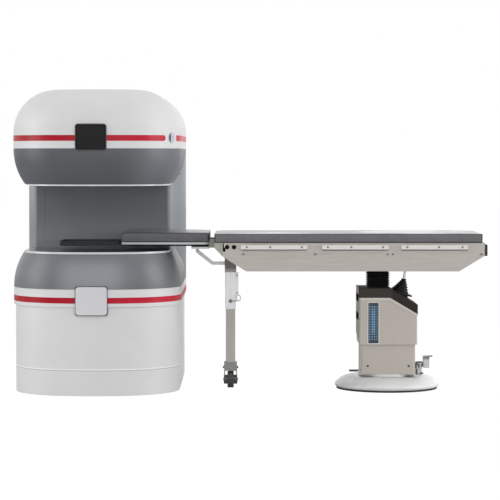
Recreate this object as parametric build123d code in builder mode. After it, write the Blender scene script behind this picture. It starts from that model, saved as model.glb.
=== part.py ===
from build123d import *
import os
from math import asin, cos, degrees, radians, sin, sqrt, tan

os.makedirs("parts", exist_ok=True)

# Frame: +X from the magnet towards the table, +Y towards the magnet's column, +Z up.
# The origin is on the floor, on the magnet's pole axis. All sizes in millimetres.

# Clearances
sliding_gap = 0.5
turning_gap = 0.4
soft_gap = 0.3
cover_seam = 0.8

# Magnet covers seen from above: blunt nose, straight flanks, rounded rear corners
cover_half_width = 519
nose_y = -520
nose_radius = 900
corner_radius = 400
rear_y = 1210
rear_corner_radius = 280
cover_wall = 6
skirt_step = 11

# Levels of the covers, from the floor up
plinth_top = 156
skirt_top = 538
band_top = 647
gap_floor = 870
gap_height = 402
deck_thickness = 12
lip_thickness = 9
hood_top = 1500
cover_top = 1862
bowl_radius = 381
hood_radius = 362
crown_radius = 265
edge_round = 3
joint_chamfer = 1.5
crown_seam_z = 1629
crown_seam_depth = 1.2

# Column behind the patient gap
gap_depth_y = 310
column_front_half_width = 437.6
panel_half_width = 415
panel_thickness = 8
flare_end_y = 840
bowl_end_y = 800
back_cover_y = 900
shadow_gap_z = 806
shadow_gap_height = 9
shadow_gap_depth = 4
shadow_gap_front = 372
shadow_gap_rear = 650

# Stripes, display, service plate and laser port
stripe_height = 35
stripe_proud = 1
lower_stripe_z = 580
upper_stripe_z = 1562.5
stripe_end_y = 925
display_x = -11.5
display_width = 191
display_height = 160
display_z = 1568
display_corner = 18
display_proud = 7
display_rim = 5
glass_depth = 2
plate_z = 577.5
plate_height = 171
plate_proud = 6
plate_round = 2
port_angle = 60.5
port_z = 1565
port_radius = 35
port_rim = 3
port_proud = 1.5
port_depth = 26
port_floor = 4
port_wall = 1.7
lens_radius = 21
lens_offset = 8
lens_proud = 2
lens_round = 14
port_stripe_gap = 28

# Magnet inside the covers
frame_height = 350
frame_web = 20
floor_plate = 20
frame_half_width = 320
frame_front_y = -330
frame_rear_y = 1000
outrigger_width = 60
outrigger_height = 40
yoke_inset = 120
yoke_plate = 190
yoke_chamfer = 8
yoke_column_corner = 40
yoke_column_half_width = 330
yoke_column_front = 430
yoke_column_rear = 1000
stack_radius = 370
stack_height = 150
stack_chamfer = 5
shoe_radius = 375
shoe_height = 100
shoe_rim_width = 30
shoe_rim_height = 20
coil_radius = 330
coil_height = 40

# Table base: fixed plate and bearing under a domed cover
table_x = 1806
base_radius = 316
skirt_height = 12
skirt_wall = 10
dome_top = 82
dome_wall = 4
dome_bore_radius = 165
dome_rim_width = 91
dome_radius = 126
dome_turn_z = 36
dome_foot_reach = 2
bearing_radius = 160
bearing_bore_radius = 100
bearing_seat_top = 58
turntable_radius = 178
turntable_bottom = 84
turntable_thickness = 14

# Pedestal covers and the dark collar on top of them
pedestal_offset = 1
pedestal_width = 337
pedestal_depth = 330
upper_step = 11.5
pedestal_seam_z = 285
sheet_wall = 3
pedestal_corner = 12
panel_seam_offset = 135.5
panel_seam_depth = 1
collar_top = 634
collar_height = 58
collar_slope_offset = 9.5
collar_round = 2
collar_slope = 30.5
collar_tuck = 20
trim_height = 15
trim_proud = 2
post_width = 6
post_half_depth = 140
post_bottom = 317
post_top = 641
post_chamfer = 27
socket_heights = (574, 460)
socket_height = 46
socket_half_depth = 24
socket_depth = 6
socket_corner = 6

# Window in the pedestal's front
window_offset = 93
window_width = 64
window_corner = 3
window_bottom = 293
window_height = 252
window_frame_width = 5
window_frame_proud = 2
lattice_thickness = 4
lattice_pitch = 15.5
lattice_bar = 3
lattice_border = 6

# Lifting column, bellows and tilt actuator
mast_offset = 57
mast_width = 140
mast_wall = 13
mast_top = 620
mast_slot_width = 40
slot_clearance = 4
slot_margin = 10
lift_wall = 8
lift_bottom = 130
lift_up = 100
lift_down = 20
lift_flange = 148
lift_flange_thickness = 9
lift_flange_corner = 12
lift_stop_gap = 1
trunnion_z = 800
trunnion_radius = 15
trunnion_half_length = 75
head_width = 90
head_half_depth = 40
bellows_width = 145
bellows_fold_depth = 9
bellows_folds = 7
bellows_clearance = 1
rod_radius = 8
rod_neck_offset = 164
rod_neck_z = 681
rod_lean = 8.75
rod_bottom_z = 360
rod_eye_z = 765
rod_eye_radius = 18
rod_eye_bore = 14
rod_eye_thickness = 14
clevis_pin_radius = 4
clevis_wall = 6
clevis_margin = 2
clevis_gap = 1
cheek_thickness = 15
cheek_inset = 3
actuator_bottom_z = 330
actuator_top_z = 470
actuator_radius = 16
actuator_bracket_height = 30
boot_foot_offset = 138
boot_base_radius = 65
boot_top_radius = 15
boot_folds = 7
boot_fold_depth = 4
boot_neck_gap = 2
rod_hole_offset = 143
rod_hole_radius = 30

# Table top
frame_left = 779
frame_right = 2387
frame_top = 921
frame_bottom = 746
frame_half_depth = 295
frame_sheet = 3
opening_margin = 10
frame_slope_start = (779, 838)
frame_slope_knee = (791, 829)
frame_slope_end_x = 923
frame_tail_x = 2231
frame_tail_z = 841
frame_slot_x = 787
frame_slot_width = 9
frame_slot_bottom = 869
frame_slot_top = 912
bracket_left = 728
bracket_lower_z = 890
bracket_knee = (772, 844)
bracket_inset = 2
mattress_left = 728
mattress_right = 2372
mattress_half_depth = 300
mattress_thickness = 56
mattress_corner = 22
mattress_edge = 9
bumper_thickness = 14
bumper_bottom = 840
bumper_half_depth = 280
bumper_ribs = 6
bumper_top_gap = 12
bumper_corner = 8
rail_z = 894.5
rail_height = 27
rail_thickness = 5
rail_standoff = 10
rail_length = 409
rail_lefts = (891, 1388, 1875)
rail_bolts = (36, 180, 374)
rail_spacer_radius = 8
rail_corner = 2

# Board that reaches into the magnet
board_left = 156
board_right = 695
board_half_depth = 262
board_frame_bottom = 910
board_frame_thickness = 13
board_pad_thickness = 60
board_pad_corner = 30
board_pad_edge = 9
tray_left = -235
tray_right = 690
tray_half_depth = 180
tray_bottom = 897
tray_rim_top = 926
tray_rim = 10
knuckle_y = 200
knuckle_half_width = 30
knuckle_bottom = 889
knuckle_top = 937

# Supporting leg with its castor
leg_x = 825
leg_width = 65
leg_wall = 2.6
leg_corner = 3.6
leg_head_width = 72
leg_head_bottom = 728
sleeve_bottom = 496
flange_width = 17
flange_bottom = 579
flange_top = 724
flange_hole_pitch = 112
flange_hole_radius = 5
leg_tube_bottom = 164
leg_tube_top = 700
brace_height = 20
brace_depth = 40
brace_foot_x = 617
brace_knee_x = 712
brace_z = 782
brace_pad_left = 580
brace_pad_right = 687
brace_pad_thickness = 13
brace_pad_corner = 6
brace_overlap = 2
brace_drop = 26
brace_bend = 12
clamp_z = 547
clamp_hub_radius = 12
clamp_hub_length = 13
clamp_arm_width = 7
clamp_thickness = 8
clamp_loop_reach = 50
clamp_loop_rise = 19
clamp_loop_width = 30
clamp_loop_height = 42
castor_radius = 52
castor_tread = 39
castor_hub_radius = 28
castor_hub_width = 66
castor_axle_radius = 7
castor_tread_round = 6
fork_width = 80
fork_depth = 60
fork_block_bottom = 107
fork_leg = 6
fork_corner = 5
fork_eye_radius = 28
fork_waist = 36

# Pedals
pedal_y = -110
pedal_width = 80
pedal_bracket_width = 42
pedal_bracket_bottom = 90
pedal_bracket_top = 168
pedal_pivot = (2000, 150)
pedal_arm_height = 8
pedal_cheek_left = 2026
pedal_cheek_width = 36
pedal_cheek_bottom = 137
pedal_cheek_top = 205
pedal_sheet = 4
pedal_pad_reach = 20
pedal_pad_rise = 4
pedal_pin_radius = 5
pedal_bracket_plate = 5
foot_bar_z = 119
foot_bar_length = 70
foot_bar_height = 10
foot_bar_y = -120
foot_bar_width = 36
foot_bar_gap = 3
foot_bar_round = 3
foot_pivot_reach = 12
foot_pin_radius = 2.5
foot_ear = 4
foot_ear_radius = 7

# Worked out from the sizes above
pedestal_x = table_x - pedestal_offset
mast_x = pedestal_x - mast_offset
window_x = pedestal_x - window_offset
collar_slope_x = pedestal_x + collar_slope_offset
dome_flat_radius = base_radius - dome_rim_width
gap_ceiling = gap_floor + gap_height
corner_x = cover_half_width - corner_radius
nose_centre_y = nose_y + nose_radius
corner_y = nose_centre_y - sqrt((nose_radius - corner_radius) ** 2 - corner_x ** 2)
corner_turn = degrees(asin(corner_x / (nose_radius - corner_radius)))
yoke_base_top = frame_height + yoke_plate
upper_coil_bottom = gap_ceiling + (gap_floor - (yoke_base_top + stack_height + shoe_height + coil_height))
yoke_top_bottom = upper_coil_bottom + coil_height + shoe_height + stack_height


def arc_inset(radius, height):
    """How far an arc that starts upright has moved in at a height."""
    return radius - sqrt(radius ** 2 - height ** 2)


deck_inset = arc_inset(bowl_radius, gap_floor - deck_thickness - band_top) + 1
lip_inset = arc_inset(hood_radius, hood_top - gap_ceiling - lip_thickness) + 1


def write(piece, name):
    """Label a finished piece and write it under its own name."""
    piece.part.label = name
    export_step(piece.part, f"parts/{name}.step")


def cover_face(inset=0, rear=rear_y, rounded_rear=True):
    """Plan of the covers, moved in by inset all round."""
    half_width = cover_half_width - inset
    back = rear - inset if rounded_rear else rear
    with BuildSketch(mode=Mode.PRIVATE) as plan:
        with BuildLine():
            CenterArc((0, nose_centre_y), nose_radius - inset, 270 - corner_turn, 2 * corner_turn)
            right = CenterArc(
                (corner_x, corner_y), corner_radius - inset, 270 + corner_turn, 90 - corner_turn
            )
            left = CenterArc((-corner_x, corner_y), corner_radius - inset, 180, 90 - corner_turn)
            if rounded_rear:
                FilletPolyline(
                    right @ 1, (half_width, back), (-half_width, back), left @ 0,
                    radius=rear_corner_radius - inset,
                )
            else:
                Polyline(right @ 1, (half_width, back), (-half_width, back), left @ 0)
        make_face()
    return plan.sketch


def column_face(inset=0):
    """Plan of the column: narrow at the patient gap, flared to the covers' full width."""
    front = gap_depth_y + inset
    front_width = column_front_half_width - inset
    width = cover_half_width - inset
    corner = column_front_half_width - panel_half_width
    with BuildSketch(mode=Mode.PRIVATE) as plan:
        with BuildLine():
            face = Line((0, front), (front_width - corner, front))
            bend = TangentArc(face @ 1, (front_width, front + corner), tangent=(1, 0))
            flare = Spline(bend @ 1, (width, flare_end_y), tangents=[(0, 1), (0, 1)])
            FilletPolyline(
                flare @ 1, (width, rear_y - inset), (0, rear_y - inset),
                radius=rear_corner_radius - inset,
            )
            mirror(about=Plane.YZ)
        make_face()
    return plan.sketch


def wall_ring(bottom, top, inset, wall=cover_wall):
    """Upright wall that follows the covers' plan."""
    with BuildPart(mode=Mode.PRIVATE) as ring:
        with BuildSketch(Plane.XY.offset(bottom)):
            add(cover_face(inset))
            add(cover_face(inset + wall), mode=Mode.SUBTRACT)
        extrude(amount=top - bottom)
    return ring.part


def outer_edges(piece, z):
    """Edges of the outer outline at one level."""
    level = piece.faces().filter_by(Axis.Z).filter_by_position(Axis.Z, z - 0.01, z + 0.01)
    return level.sort_by(SortBy.AREA)[-1].outer_wire().edges()


def bowl_block(base, inset, radius, height):
    """Solid that rises from the plan and curves in along one arc, cut off at a height."""
    with BuildPart(mode=Mode.PRIVATE) as block:
        with BuildSketch(base):
            add(cover_face(inset, rear=bowl_end_y, rounded_rear=False))
        extrude(amount=radius + cover_wall)
        crown = block.faces().sort_by(Axis(base.origin, base.z_dir))[-1]
        fillet(crown.edges().sort_by(Axis.Y)[:-1], radius=radius)
        split(bisect_by=base.offset(height), keep=Keep.BOTTOM)
    return block.part


def bowl_shell(base, radius, height):
    """Curved shroud wall between a cover and the patient gap, open top and bottom."""
    with BuildPart(mode=Mode.PRIVATE) as shell:
        add(bowl_block(base, 0, radius, height))
        add(bowl_block(base, cover_wall, radius - cover_wall, height), mode=Mode.SUBTRACT)
        with BuildSketch(base):
            add(column_face())
        extrude(amount=height, mode=Mode.SUBTRACT)
    return shell.part


def ledge_plate(bottom, thickness, inset):
    """Flat plate over a pole, cut away for the column."""
    with BuildPart(mode=Mode.PRIVATE) as plate:
        with BuildSketch(Plane.XY.offset(bottom)):
            add(cover_face(inset, rear=bowl_end_y, rounded_rear=False))
            add(column_face(), mode=Mode.SUBTRACT)
        extrude(amount=thickness)
    return plate.part


# Base frame: floor plate, welded webs and two outriggers that steady the skirt
web_height = frame_height - floor_plate
frame_length = frame_rear_y - frame_front_y
frame_centre_y = (frame_rear_y + frame_front_y) / 2
with BuildPart() as support_frame:
    with BuildSketch():
        with Locations((0, frame_centre_y)):
            Rectangle(2 * frame_half_width, frame_length)
    extrude(amount=floor_plate)
    with BuildSketch(Plane.XY.offset(floor_plate)):
        with Locations((0, frame_centre_y)):
            with GridLocations(frame_half_width - frame_web / 2, 0, 3, 1):
                Rectangle(frame_web, frame_length)
            with GridLocations(0, (frame_length - frame_web) / 4, 1, 5):
                Rectangle(2 * frame_half_width, frame_web)
    extrude(amount=web_height)
    outrigger_reach = cover_half_width - skirt_step - cover_wall - soft_gap
    with BuildSketch(Plane.XY.offset(frame_height - outrigger_height)):
        with Locations((0, frame_centre_y)):
            Rectangle(2 * outrigger_reach, outrigger_width)
    extrude(amount=outrigger_height)
write(support_frame, "support_frame")

with BuildPart() as yoke_base_plate:
    with BuildSketch(Plane.XY.offset(frame_height)):
        add(cover_face(yoke_inset))
    extrude(amount=yoke_plate)
    chamfer(outer_edges(yoke_base_plate, yoke_base_top), length=yoke_chamfer)
write(yoke_base_plate, "yoke_base_plate")

with BuildPart() as yoke_top_plate:
    with BuildSketch(Plane.XY.offset(yoke_top_bottom)):
        add(cover_face(yoke_inset))
    extrude(amount=yoke_plate)
    chamfer(outer_edges(yoke_top_plate, yoke_top_bottom), length=yoke_chamfer)
write(yoke_top_plate, "yoke_top_plate")

yoke_column_depth = yoke_column_rear - yoke_column_front
with BuildPart() as yoke_column:
    with BuildSketch(Plane.XY.offset(yoke_base_top)):
        with Locations((0, yoke_column_front + yoke_column_depth / 2)):
            RectangleRounded(2 * yoke_column_half_width, yoke_column_depth, yoke_column_corner)
    extrude(amount=yoke_top_bottom - yoke_base_top)
write(yoke_column, "yoke_column")

# Poles: the lower ones are mirrored about the middle of the patient gap
gap_middle = Plane.XY.offset((gap_floor + gap_ceiling) / 2)
with BuildPart() as magnet_stacks:
    with BuildSketch(Plane.XY.offset(yoke_base_top)):
        Circle(stack_radius)
    extrude(amount=stack_height)
    chamfer(outer_edges(magnet_stacks, yoke_base_top + stack_height), length=stack_chamfer)
    mirror(about=gap_middle)
write(magnet_stacks, "magnet_stacks")

shoe_bottom = yoke_base_top + stack_height
with BuildPart() as pole_shoes:
    with BuildSketch(Plane.XY.offset(shoe_bottom)):
        Circle(shoe_radius)
    extrude(amount=shoe_height)
    with BuildSketch(Plane.XY.offset(shoe_bottom + shoe_height)):
        Circle(shoe_radius)
        Circle(shoe_radius - shoe_rim_width, mode=Mode.SUBTRACT)
    extrude(amount=shoe_rim_height)
    mirror(about=gap_middle)
write(pole_shoes, "pole_shoes")

with BuildPart() as gradient_coils:
    with BuildSketch(Plane.XY.offset(shoe_bottom + shoe_height)):
        Circle(coil_radius)
    extrude(amount=coil_height)
    mirror(about=gap_middle)
write(gradient_coils, "gradient_coils")

# Lower covers, stacked on each other
with BuildPart() as plinth_cover:
    add(wall_ring(0, plinth_top, skirt_step))
    chamfer(outer_edges(plinth_cover, plinth_top), length=joint_chamfer)
write(plinth_cover, "plinth_cover")

with BuildPart() as lower_skirt:
    add(wall_ring(plinth_top, skirt_top, skirt_step))
    chamfer(outer_edges(lower_skirt, plinth_top), length=joint_chamfer)
write(lower_skirt, "lower_skirt")

with BuildPart() as lower_band:
    add(wall_ring(skirt_top, band_top, 0))
    add(wall_ring(skirt_top, skirt_top + cover_wall, 0, skirt_step + cover_wall))
    fillet(outer_edges(lower_band, skirt_top), radius=edge_round)
    chamfer(outer_edges(lower_band, band_top), length=joint_chamfer)
write(lower_band, "lower_band")

lower_base = Plane.XY.offset(band_top)
upper_base = Plane(origin=(0, 0, hood_top), x_dir=(-1, 0, 0), z_dir=(0, 0, -1))

with BuildPart() as lower_shroud:
    add(bowl_shell(lower_base, bowl_radius, gap_floor - deck_thickness - band_top))
write(lower_shroud, "lower_shroud")

with BuildPart() as lower_deck:
    add(ledge_plate(gap_floor - deck_thickness, deck_thickness, deck_inset))
write(lower_deck, "lower_deck")

# Upper covers
with BuildPart() as upper_pole_cover:
    add(ledge_plate(gap_ceiling, lip_thickness, lip_inset))
write(upper_pole_cover, "upper_pole_cover")

with BuildPart() as upper_shroud:
    add(bowl_shell(upper_base, hood_radius, hood_top - gap_ceiling - lip_thickness))
write(upper_shroud, "upper_shroud")


def crowned_block(inset, radius):
    """Closed upper cover form with its top edge rounded all the way round."""
    with BuildPart(mode=Mode.PRIVATE) as block:
        with BuildSketch(Plane.XY.offset(hood_top)):
            add(cover_face(inset))
        extrude(amount=cover_top - inset - hood_top)
        fillet(outer_edges(block, cover_top - inset), radius=radius)
    return block.part


port_direction = Vector(sin(radians(port_angle)), -cos(radians(port_angle)), 0)
port_point = Vector(corner_x, corner_y, port_z) + port_direction * corner_radius
port_plane = Plane(origin=port_point, x_dir=(0, 0, 1), z_dir=port_direction)

crown_inset = arc_inset(crown_radius, crown_seam_z - (cover_top - crown_radius))
with BuildPart() as upper_cover:
    add(crowned_block(0, crown_radius))
    add(crowned_block(cover_wall, crown_radius - cover_wall), mode=Mode.SUBTRACT)
    with BuildSketch(port_plane.offset(-port_depth)):
        Circle(port_radius - port_rim)
    extrude(amount=2 * port_depth, mode=Mode.SUBTRACT)
    with BuildSketch(Plane.XY.offset(crown_seam_z - cover_seam / 2)):
        add(cover_face(-edge_round))
        add(cover_face(crown_inset + crown_seam_depth), mode=Mode.SUBTRACT)
    extrude(amount=cover_seam, mode=Mode.SUBTRACT)
write(upper_cover, "upper_cover")

# Column covers and the dark panel at the back of the patient gap
with BuildPart() as column_covers:
    with BuildSketch(Plane.XY.offset(band_top)):
        add(column_face())
        add(column_face(cover_wall), mode=Mode.SUBTRACT)
        with Locations((0, gap_depth_y)):
            Rectangle(2 * panel_half_width, 4 * cover_wall, mode=Mode.SUBTRACT)
        with Locations((0, back_cover_y)):
            Rectangle(3 * cover_half_width, cover_seam, mode=Mode.SUBTRACT)
    extrude(amount=hood_top - band_top)
    for level in (shadow_gap_z, gap_floor + gap_ceiling - shadow_gap_z):
        with BuildSketch(Plane.XY.offset(level - shadow_gap_height / 2)):
            with Locations((0, (shadow_gap_front + shadow_gap_rear) / 2)):
                Rectangle(3 * cover_half_width, shadow_gap_rear - shadow_gap_front)
            add(column_face(shadow_gap_depth), mode=Mode.SUBTRACT)
        extrude(amount=shadow_gap_height, mode=Mode.SUBTRACT)
write(column_covers, "column_covers")

with BuildPart() as gap_back_panel:
    with BuildSketch(Plane.XY.offset(gap_floor - deck_thickness)):
        with Locations((0, gap_depth_y)):
            Rectangle(
                2 * (panel_half_width - cover_seam), panel_thickness, align=(Align.CENTER, Align.MIN)
            )
    extrude(amount=gap_height + deck_thickness + lip_thickness)
write(gap_back_panel, "gap_back_panel")


def stripe_band(middle):
    """Red band that stands just proud of the cover round the front and both flanks."""
    with BuildPart(mode=Mode.PRIVATE) as band:
        with BuildSketch(Plane.XY.offset(middle - stripe_height / 2)):
            add(cover_face(-stripe_proud))
            add(cover_face(), mode=Mode.SUBTRACT)
            with Locations((0, stripe_end_y)):
                Rectangle(
                    3 * cover_half_width, rear_y, align=(Align.CENTER, Align.MIN),
                    mode=Mode.SUBTRACT,
                )
        extrude(amount=stripe_height)
    return band.part


def front_plate(plane_y, depth, width, height, middle_z, corner):
    """Rounded plate on the nose, its back shaped to the cover that it stands on."""
    with BuildPart(mode=Mode.PRIVATE) as plate:
        with BuildSketch(Plane.XZ.offset(-plane_y)):
            with Locations((display_x, middle_z)):
                RectangleRounded(width, height, corner)
        extrude(amount=-depth)
        with BuildSketch(Plane.XY.offset(middle_z - height)):
            add(cover_face())
        extrude(amount=2 * height, mode=Mode.SUBTRACT)
    return plate.part


seat_depth = 20
stripe_gap_reach = port_radius + port_stripe_gap
with BuildPart() as stripes:
    for middle in (lower_stripe_z, upper_stripe_z):
        add(stripe_band(middle))
        with BuildSketch(Plane.XZ.offset(-nose_y - seat_depth)):
            with Locations((display_x, middle)):
                Rectangle(display_width, 2 * stripe_height)
        extrude(amount=2 * seat_depth, mode=Mode.SUBTRACT)
    with BuildSketch(port_plane.offset(-port_depth)):
        with Locations((0, stripe_height / 4)):
            Rectangle(2 * stripe_height, 2 * stripe_gap_reach + stripe_height / 2)
        with Locations((upper_stripe_z - port_z, stripe_gap_reach + stripe_height / 2)):
            Circle(stripe_height / 2, mode=Mode.SUBTRACT)
    extrude(amount=2 * port_depth, mode=Mode.SUBTRACT)
write(stripes, "stripes")

with BuildPart() as service_plate:
    add(
        front_plate(
            nose_y - plate_proud, seat_depth, display_width - 2 * cover_seam, plate_height,
            plate_z, display_corner,
        )
    )
    fillet(service_plate.faces().sort_by(Axis.Y)[0].edges(), radius=plate_round)
write(service_plate, "service_plate")

glass_width = display_width - 2 * display_rim
glass_height = display_height - 2 * display_rim
with BuildPart() as display_bezel:
    add(
        front_plate(
            nose_y - display_proud, seat_depth, display_width - 2 * cover_seam, display_height,
            display_z, display_corner,
        )
    )
    with BuildSketch(Plane.XZ.offset(display_proud - nose_y)):
        with Locations((display_x, display_z)):
            RectangleRounded(glass_width, glass_height, display_corner - display_rim)
    extrude(amount=-glass_depth, mode=Mode.SUBTRACT)
    fillet(
        display_bezel.faces().sort_by(Axis.Y)[0].outer_wire().edges(), radius=display_rim / 3
    )
write(display_bezel, "display_bezel")

with BuildPart() as display_glass:
    with BuildSketch(Plane.XZ.offset(display_proud - nose_y - glass_depth)):
        with Locations((display_x, display_z)):
            RectangleRounded(
                glass_width - soft_gap, glass_height - soft_gap, display_corner - display_rim
            )
    extrude(amount=glass_depth)
write(display_glass, "display_glass")

# Laser port: a flanged cup in the cover, with a milky lens barrel beside its middle
cup_radius = port_radius - port_rim - soft_gap - port_wall
with BuildPart() as laser_bezel:
    with BuildSketch(port_plane.offset(-port_proud)):
        Circle(port_radius)
    extrude(amount=2 * port_proud)
    with BuildSketch(Plane.XY.offset(port_z - 2 * port_radius)):
        add(cover_face())
    extrude(amount=4 * port_radius, mode=Mode.SUBTRACT)
    with BuildSketch(port_plane.offset(-port_depth)):
        Circle(port_radius - port_rim - soft_gap)
    extrude(amount=port_depth + port_proud)
    with BuildSketch(port_plane.offset(port_floor - port_depth)):
        Circle(cup_radius)
    extrude(amount=port_depth + port_proud, mode=Mode.SUBTRACT)
write(laser_bezel, "laser_bezel")

lens_height = port_depth - port_floor + lens_proud
with BuildPart() as laser_lens:
    with BuildSketch(port_plane.offset(port_floor - port_depth)):
        with Locations((0, -lens_offset)):
            Circle(lens_radius)
    extrude(amount=lens_height)
    lens_face = laser_lens.faces().sort_by(Axis(port_plane.origin, port_plane.z_dir))[-1]
    fillet(lens_face.edges(), radius=lens_round)
write(laser_lens, "laser_lens")

# Table base, fixed to the floor
with BuildPart() as base_plate:
    with BuildSketch():
        with Locations((table_x, 0)):
            Circle(base_radius - skirt_wall - soft_gap)
    extrude(amount=skirt_height)
    with BuildSketch(Plane.XY.offset(skirt_height)):
        with Locations((table_x, 0)):
            Circle(bearing_radius - skirt_wall)
            Circle(bearing_bore_radius, mode=Mode.SUBTRACT)
    extrude(amount=bearing_seat_top - skirt_height)
write(base_plate, "base_plate")

with BuildPart() as base_skirt:
    with BuildSketch():
        with Locations((table_x, 0)):
            Circle(base_radius)
            Circle(base_radius - skirt_wall, mode=Mode.SUBTRACT)
    extrude(amount=skirt_height)
write(base_skirt, "base_skirt")

with BuildPart() as swivel_bearing:
    with BuildSketch(Plane.XY.offset(bearing_seat_top)):
        with Locations((table_x, 0)):
            Circle(bearing_radius)
            Circle(bearing_bore_radius, mode=Mode.SUBTRACT)
    extrude(amount=turntable_bottom - turning_gap - bearing_seat_top)
write(swivel_bearing, "swivel_bearing")


dome_frame = Plane.XZ.move(Location((table_x, 0, 0)))


def dome_section(inset):
    """Half section of the domed base cover, moved in by inset: flat, long arc, turned-in foot."""
    arc_centre_z = dome_top - dome_radius
    turn_r = dome_flat_radius + sqrt(dome_radius ** 2 - (dome_turn_z - arc_centre_z) ** 2)
    inner = dome_bore_radius - 2 * inset
    with BuildSketch(mode=Mode.PRIVATE) as section:
        with BuildLine():
            Line((inner, dome_top), (dome_flat_radius, dome_top))
            crown = TangentArc((dome_flat_radius, dome_top), (turn_r, dome_turn_z), tangent=(1, 0))
            foot = TangentArc(crown @ 1, (base_radius + dome_foot_reach, skirt_height), tangent=crown % 1)
            Polyline(
                foot @ 1, (base_radius + dome_foot_reach, 0), (inner, 0), (inner, dome_top)
            )
        make_face()
        if inset:
            offset(amount=-inset, mode=Mode.REPLACE)
    return section.sketch


with BuildPart() as base_cover:
    with BuildSketch(dome_frame):
        add(dome_section(0))
    revolve(axis=Axis.Z.located(Location((table_x, 0, 0))))
    with BuildSketch(dome_frame):
        add(dome_section(dome_wall))
    revolve(axis=Axis.Z.located(Location((table_x, 0, 0))), mode=Mode.SUBTRACT)
    with BuildSketch():
        with Locations((table_x, 0)):
            Circle(2 * base_radius)
    extrude(amount=skirt_height, mode=Mode.SUBTRACT)
write(base_cover, "base_cover")

# Turning pedestal
turntable_top = turntable_bottom + turntable_thickness
with BuildPart() as turntable:
    with BuildSketch(Plane.XY.offset(turntable_bottom)):
        with Locations((table_x, 0)):
            Circle(turntable_radius)
    extrude(amount=turntable_thickness)
    with BuildSketch(Plane.XY.offset(turntable_bottom)):
        with Locations((table_x, 0)):
            Circle(bearing_bore_radius - turning_gap)
    extrude(amount=-(turntable_bottom - bearing_seat_top - turning_gap))
write(turntable, "turntable")

slot_bottom = actuator_bottom_z - lift_down - slot_margin
slot_top = actuator_bottom_z + actuator_bracket_height + lift_up + slot_margin
with BuildPart() as guide_column:
    with BuildSketch(Plane.XY.offset(turntable_top)):
        with Locations((mast_x, 0)):
            RectangleRounded(mast_width, mast_width, mast_wall)
            Rectangle(mast_width - 2 * mast_wall, mast_width - 2 * mast_wall, mode=Mode.SUBTRACT)
    extrude(amount=mast_top - turntable_top)
    with BuildSketch(Plane.YZ.offset(mast_x)):
        with Locations((0, (slot_top + slot_bottom) / 2)):
            Rectangle(mast_slot_width, slot_top - slot_bottom)
    extrude(amount=mast_width, mode=Mode.SUBTRACT)
write(guide_column, "guide_column")



def panel_seams(half_depth):
    """Upright joint lines cut into the front and rear faces of a pedestal cover."""
    with BuildPart(mode=Mode.PRIVATE) as seams:
        with BuildSketch(Plane.XY.offset(turntable_top)):
            with Locations((pedestal_x - panel_seam_offset, 0)):
                with GridLocations(0, 2 * half_depth, 1, 2):
                    Rectangle(cover_seam, 2 * panel_seam_depth)
        extrude(amount=collar_top - turntable_top)
    return seams.part


with BuildPart() as pedestal_lower_cover:
    with BuildSketch(Plane.XY.offset(turntable_top)):
        with Locations((pedestal_x, 0)):
            RectangleRounded(pedestal_width, pedestal_depth, pedestal_corner)
            RectangleRounded(
                pedestal_width - 2 * sheet_wall, pedestal_depth - 2 * sheet_wall,
                pedestal_corner - sheet_wall, mode=Mode.SUBTRACT,
            )
    extrude(amount=pedestal_seam_z - turntable_top)
    add(panel_seams(pedestal_depth / 2), mode=Mode.SUBTRACT)
write(pedestal_lower_cover, "pedestal_lower_cover")


def slope_drop(x):
    """How far the collar's sloping top lies below its flat top."""
    return max(0, x - collar_slope_x) * tan(radians(collar_slope))


def pedestal_block(half_width, half_depth, bottom, flat_top, corner, sloping_bottom=False):
    """Upright block with a flat and a sloping top, as the pedestal's upper covers have."""
    left, right = pedestal_x - half_width, pedestal_x + half_width
    end_bottom = bottom - slope_drop(right) if sloping_bottom else bottom
    with BuildPart(mode=Mode.PRIVATE) as block:
        with BuildSketch(Plane.XZ.offset(-half_depth)):
            with BuildLine():
                Polyline(
                    (left, bottom), (left, flat_top), (collar_slope_x, flat_top),
                    (right, flat_top - slope_drop(right)), (right, end_bottom),
                    (collar_slope_x, bottom), close=True,
                )
            make_face()
        extrude(amount=2 * half_depth)
        fillet(block.edges().filter_by(Axis.Z), radius=corner)
    return block.part


upper_half_width = pedestal_width / 2 + upper_step
upper_half_depth = pedestal_depth / 2 + upper_step
collar_bottom = collar_top - collar_height
upper_cover_top = collar_bottom + collar_tuck
window_middle = window_bottom + window_height / 2
with BuildPart() as pedestal_upper_cover:
    add(
        pedestal_block(
            upper_half_width, upper_half_depth, pedestal_seam_z, upper_cover_top, pedestal_corner
        )
    )
    add(
        pedestal_block(
            upper_half_width + trim_proud, upper_half_depth + trim_proud, collar_bottom - trim_height,
            collar_bottom - cover_seam, pedestal_corner + trim_proud, sloping_bottom=True,
        )
    )
    with BuildSketch(Plane.XY.offset(pedestal_seam_z)):
        with Locations((pedestal_x - upper_half_width, 0)):
            Rectangle(
                2 * trim_proud, 3 * upper_half_depth, align=(Align.MAX, Align.CENTER)
            )
    extrude(amount=collar_top - pedestal_seam_z, mode=Mode.SUBTRACT)
    add(
        pedestal_block(
            upper_half_width - sheet_wall, upper_half_depth - sheet_wall,
            pedestal_seam_z + sheet_wall, upper_cover_top + 2 * sheet_wall,
            pedestal_corner - sheet_wall,
        ),
        mode=Mode.SUBTRACT,
    )
    with BuildSketch(Plane.XY.offset(pedestal_seam_z)):
        with Locations((pedestal_x, 0)):
            Rectangle(
                pedestal_width - 2 * sheet_wall, pedestal_depth - 2 * sheet_wall,
            )
    extrude(amount=sheet_wall, mode=Mode.SUBTRACT)
    with BuildSketch(Plane.XZ.offset(upper_half_depth - 2 * sheet_wall)):
        with Locations((window_x, window_middle)):
            Rectangle(window_width, window_height)
    extrude(amount=4 * sheet_wall, mode=Mode.SUBTRACT)
    add(panel_seams(upper_half_depth), mode=Mode.SUBTRACT)
write(pedestal_upper_cover, "pedestal_upper_cover")

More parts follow.
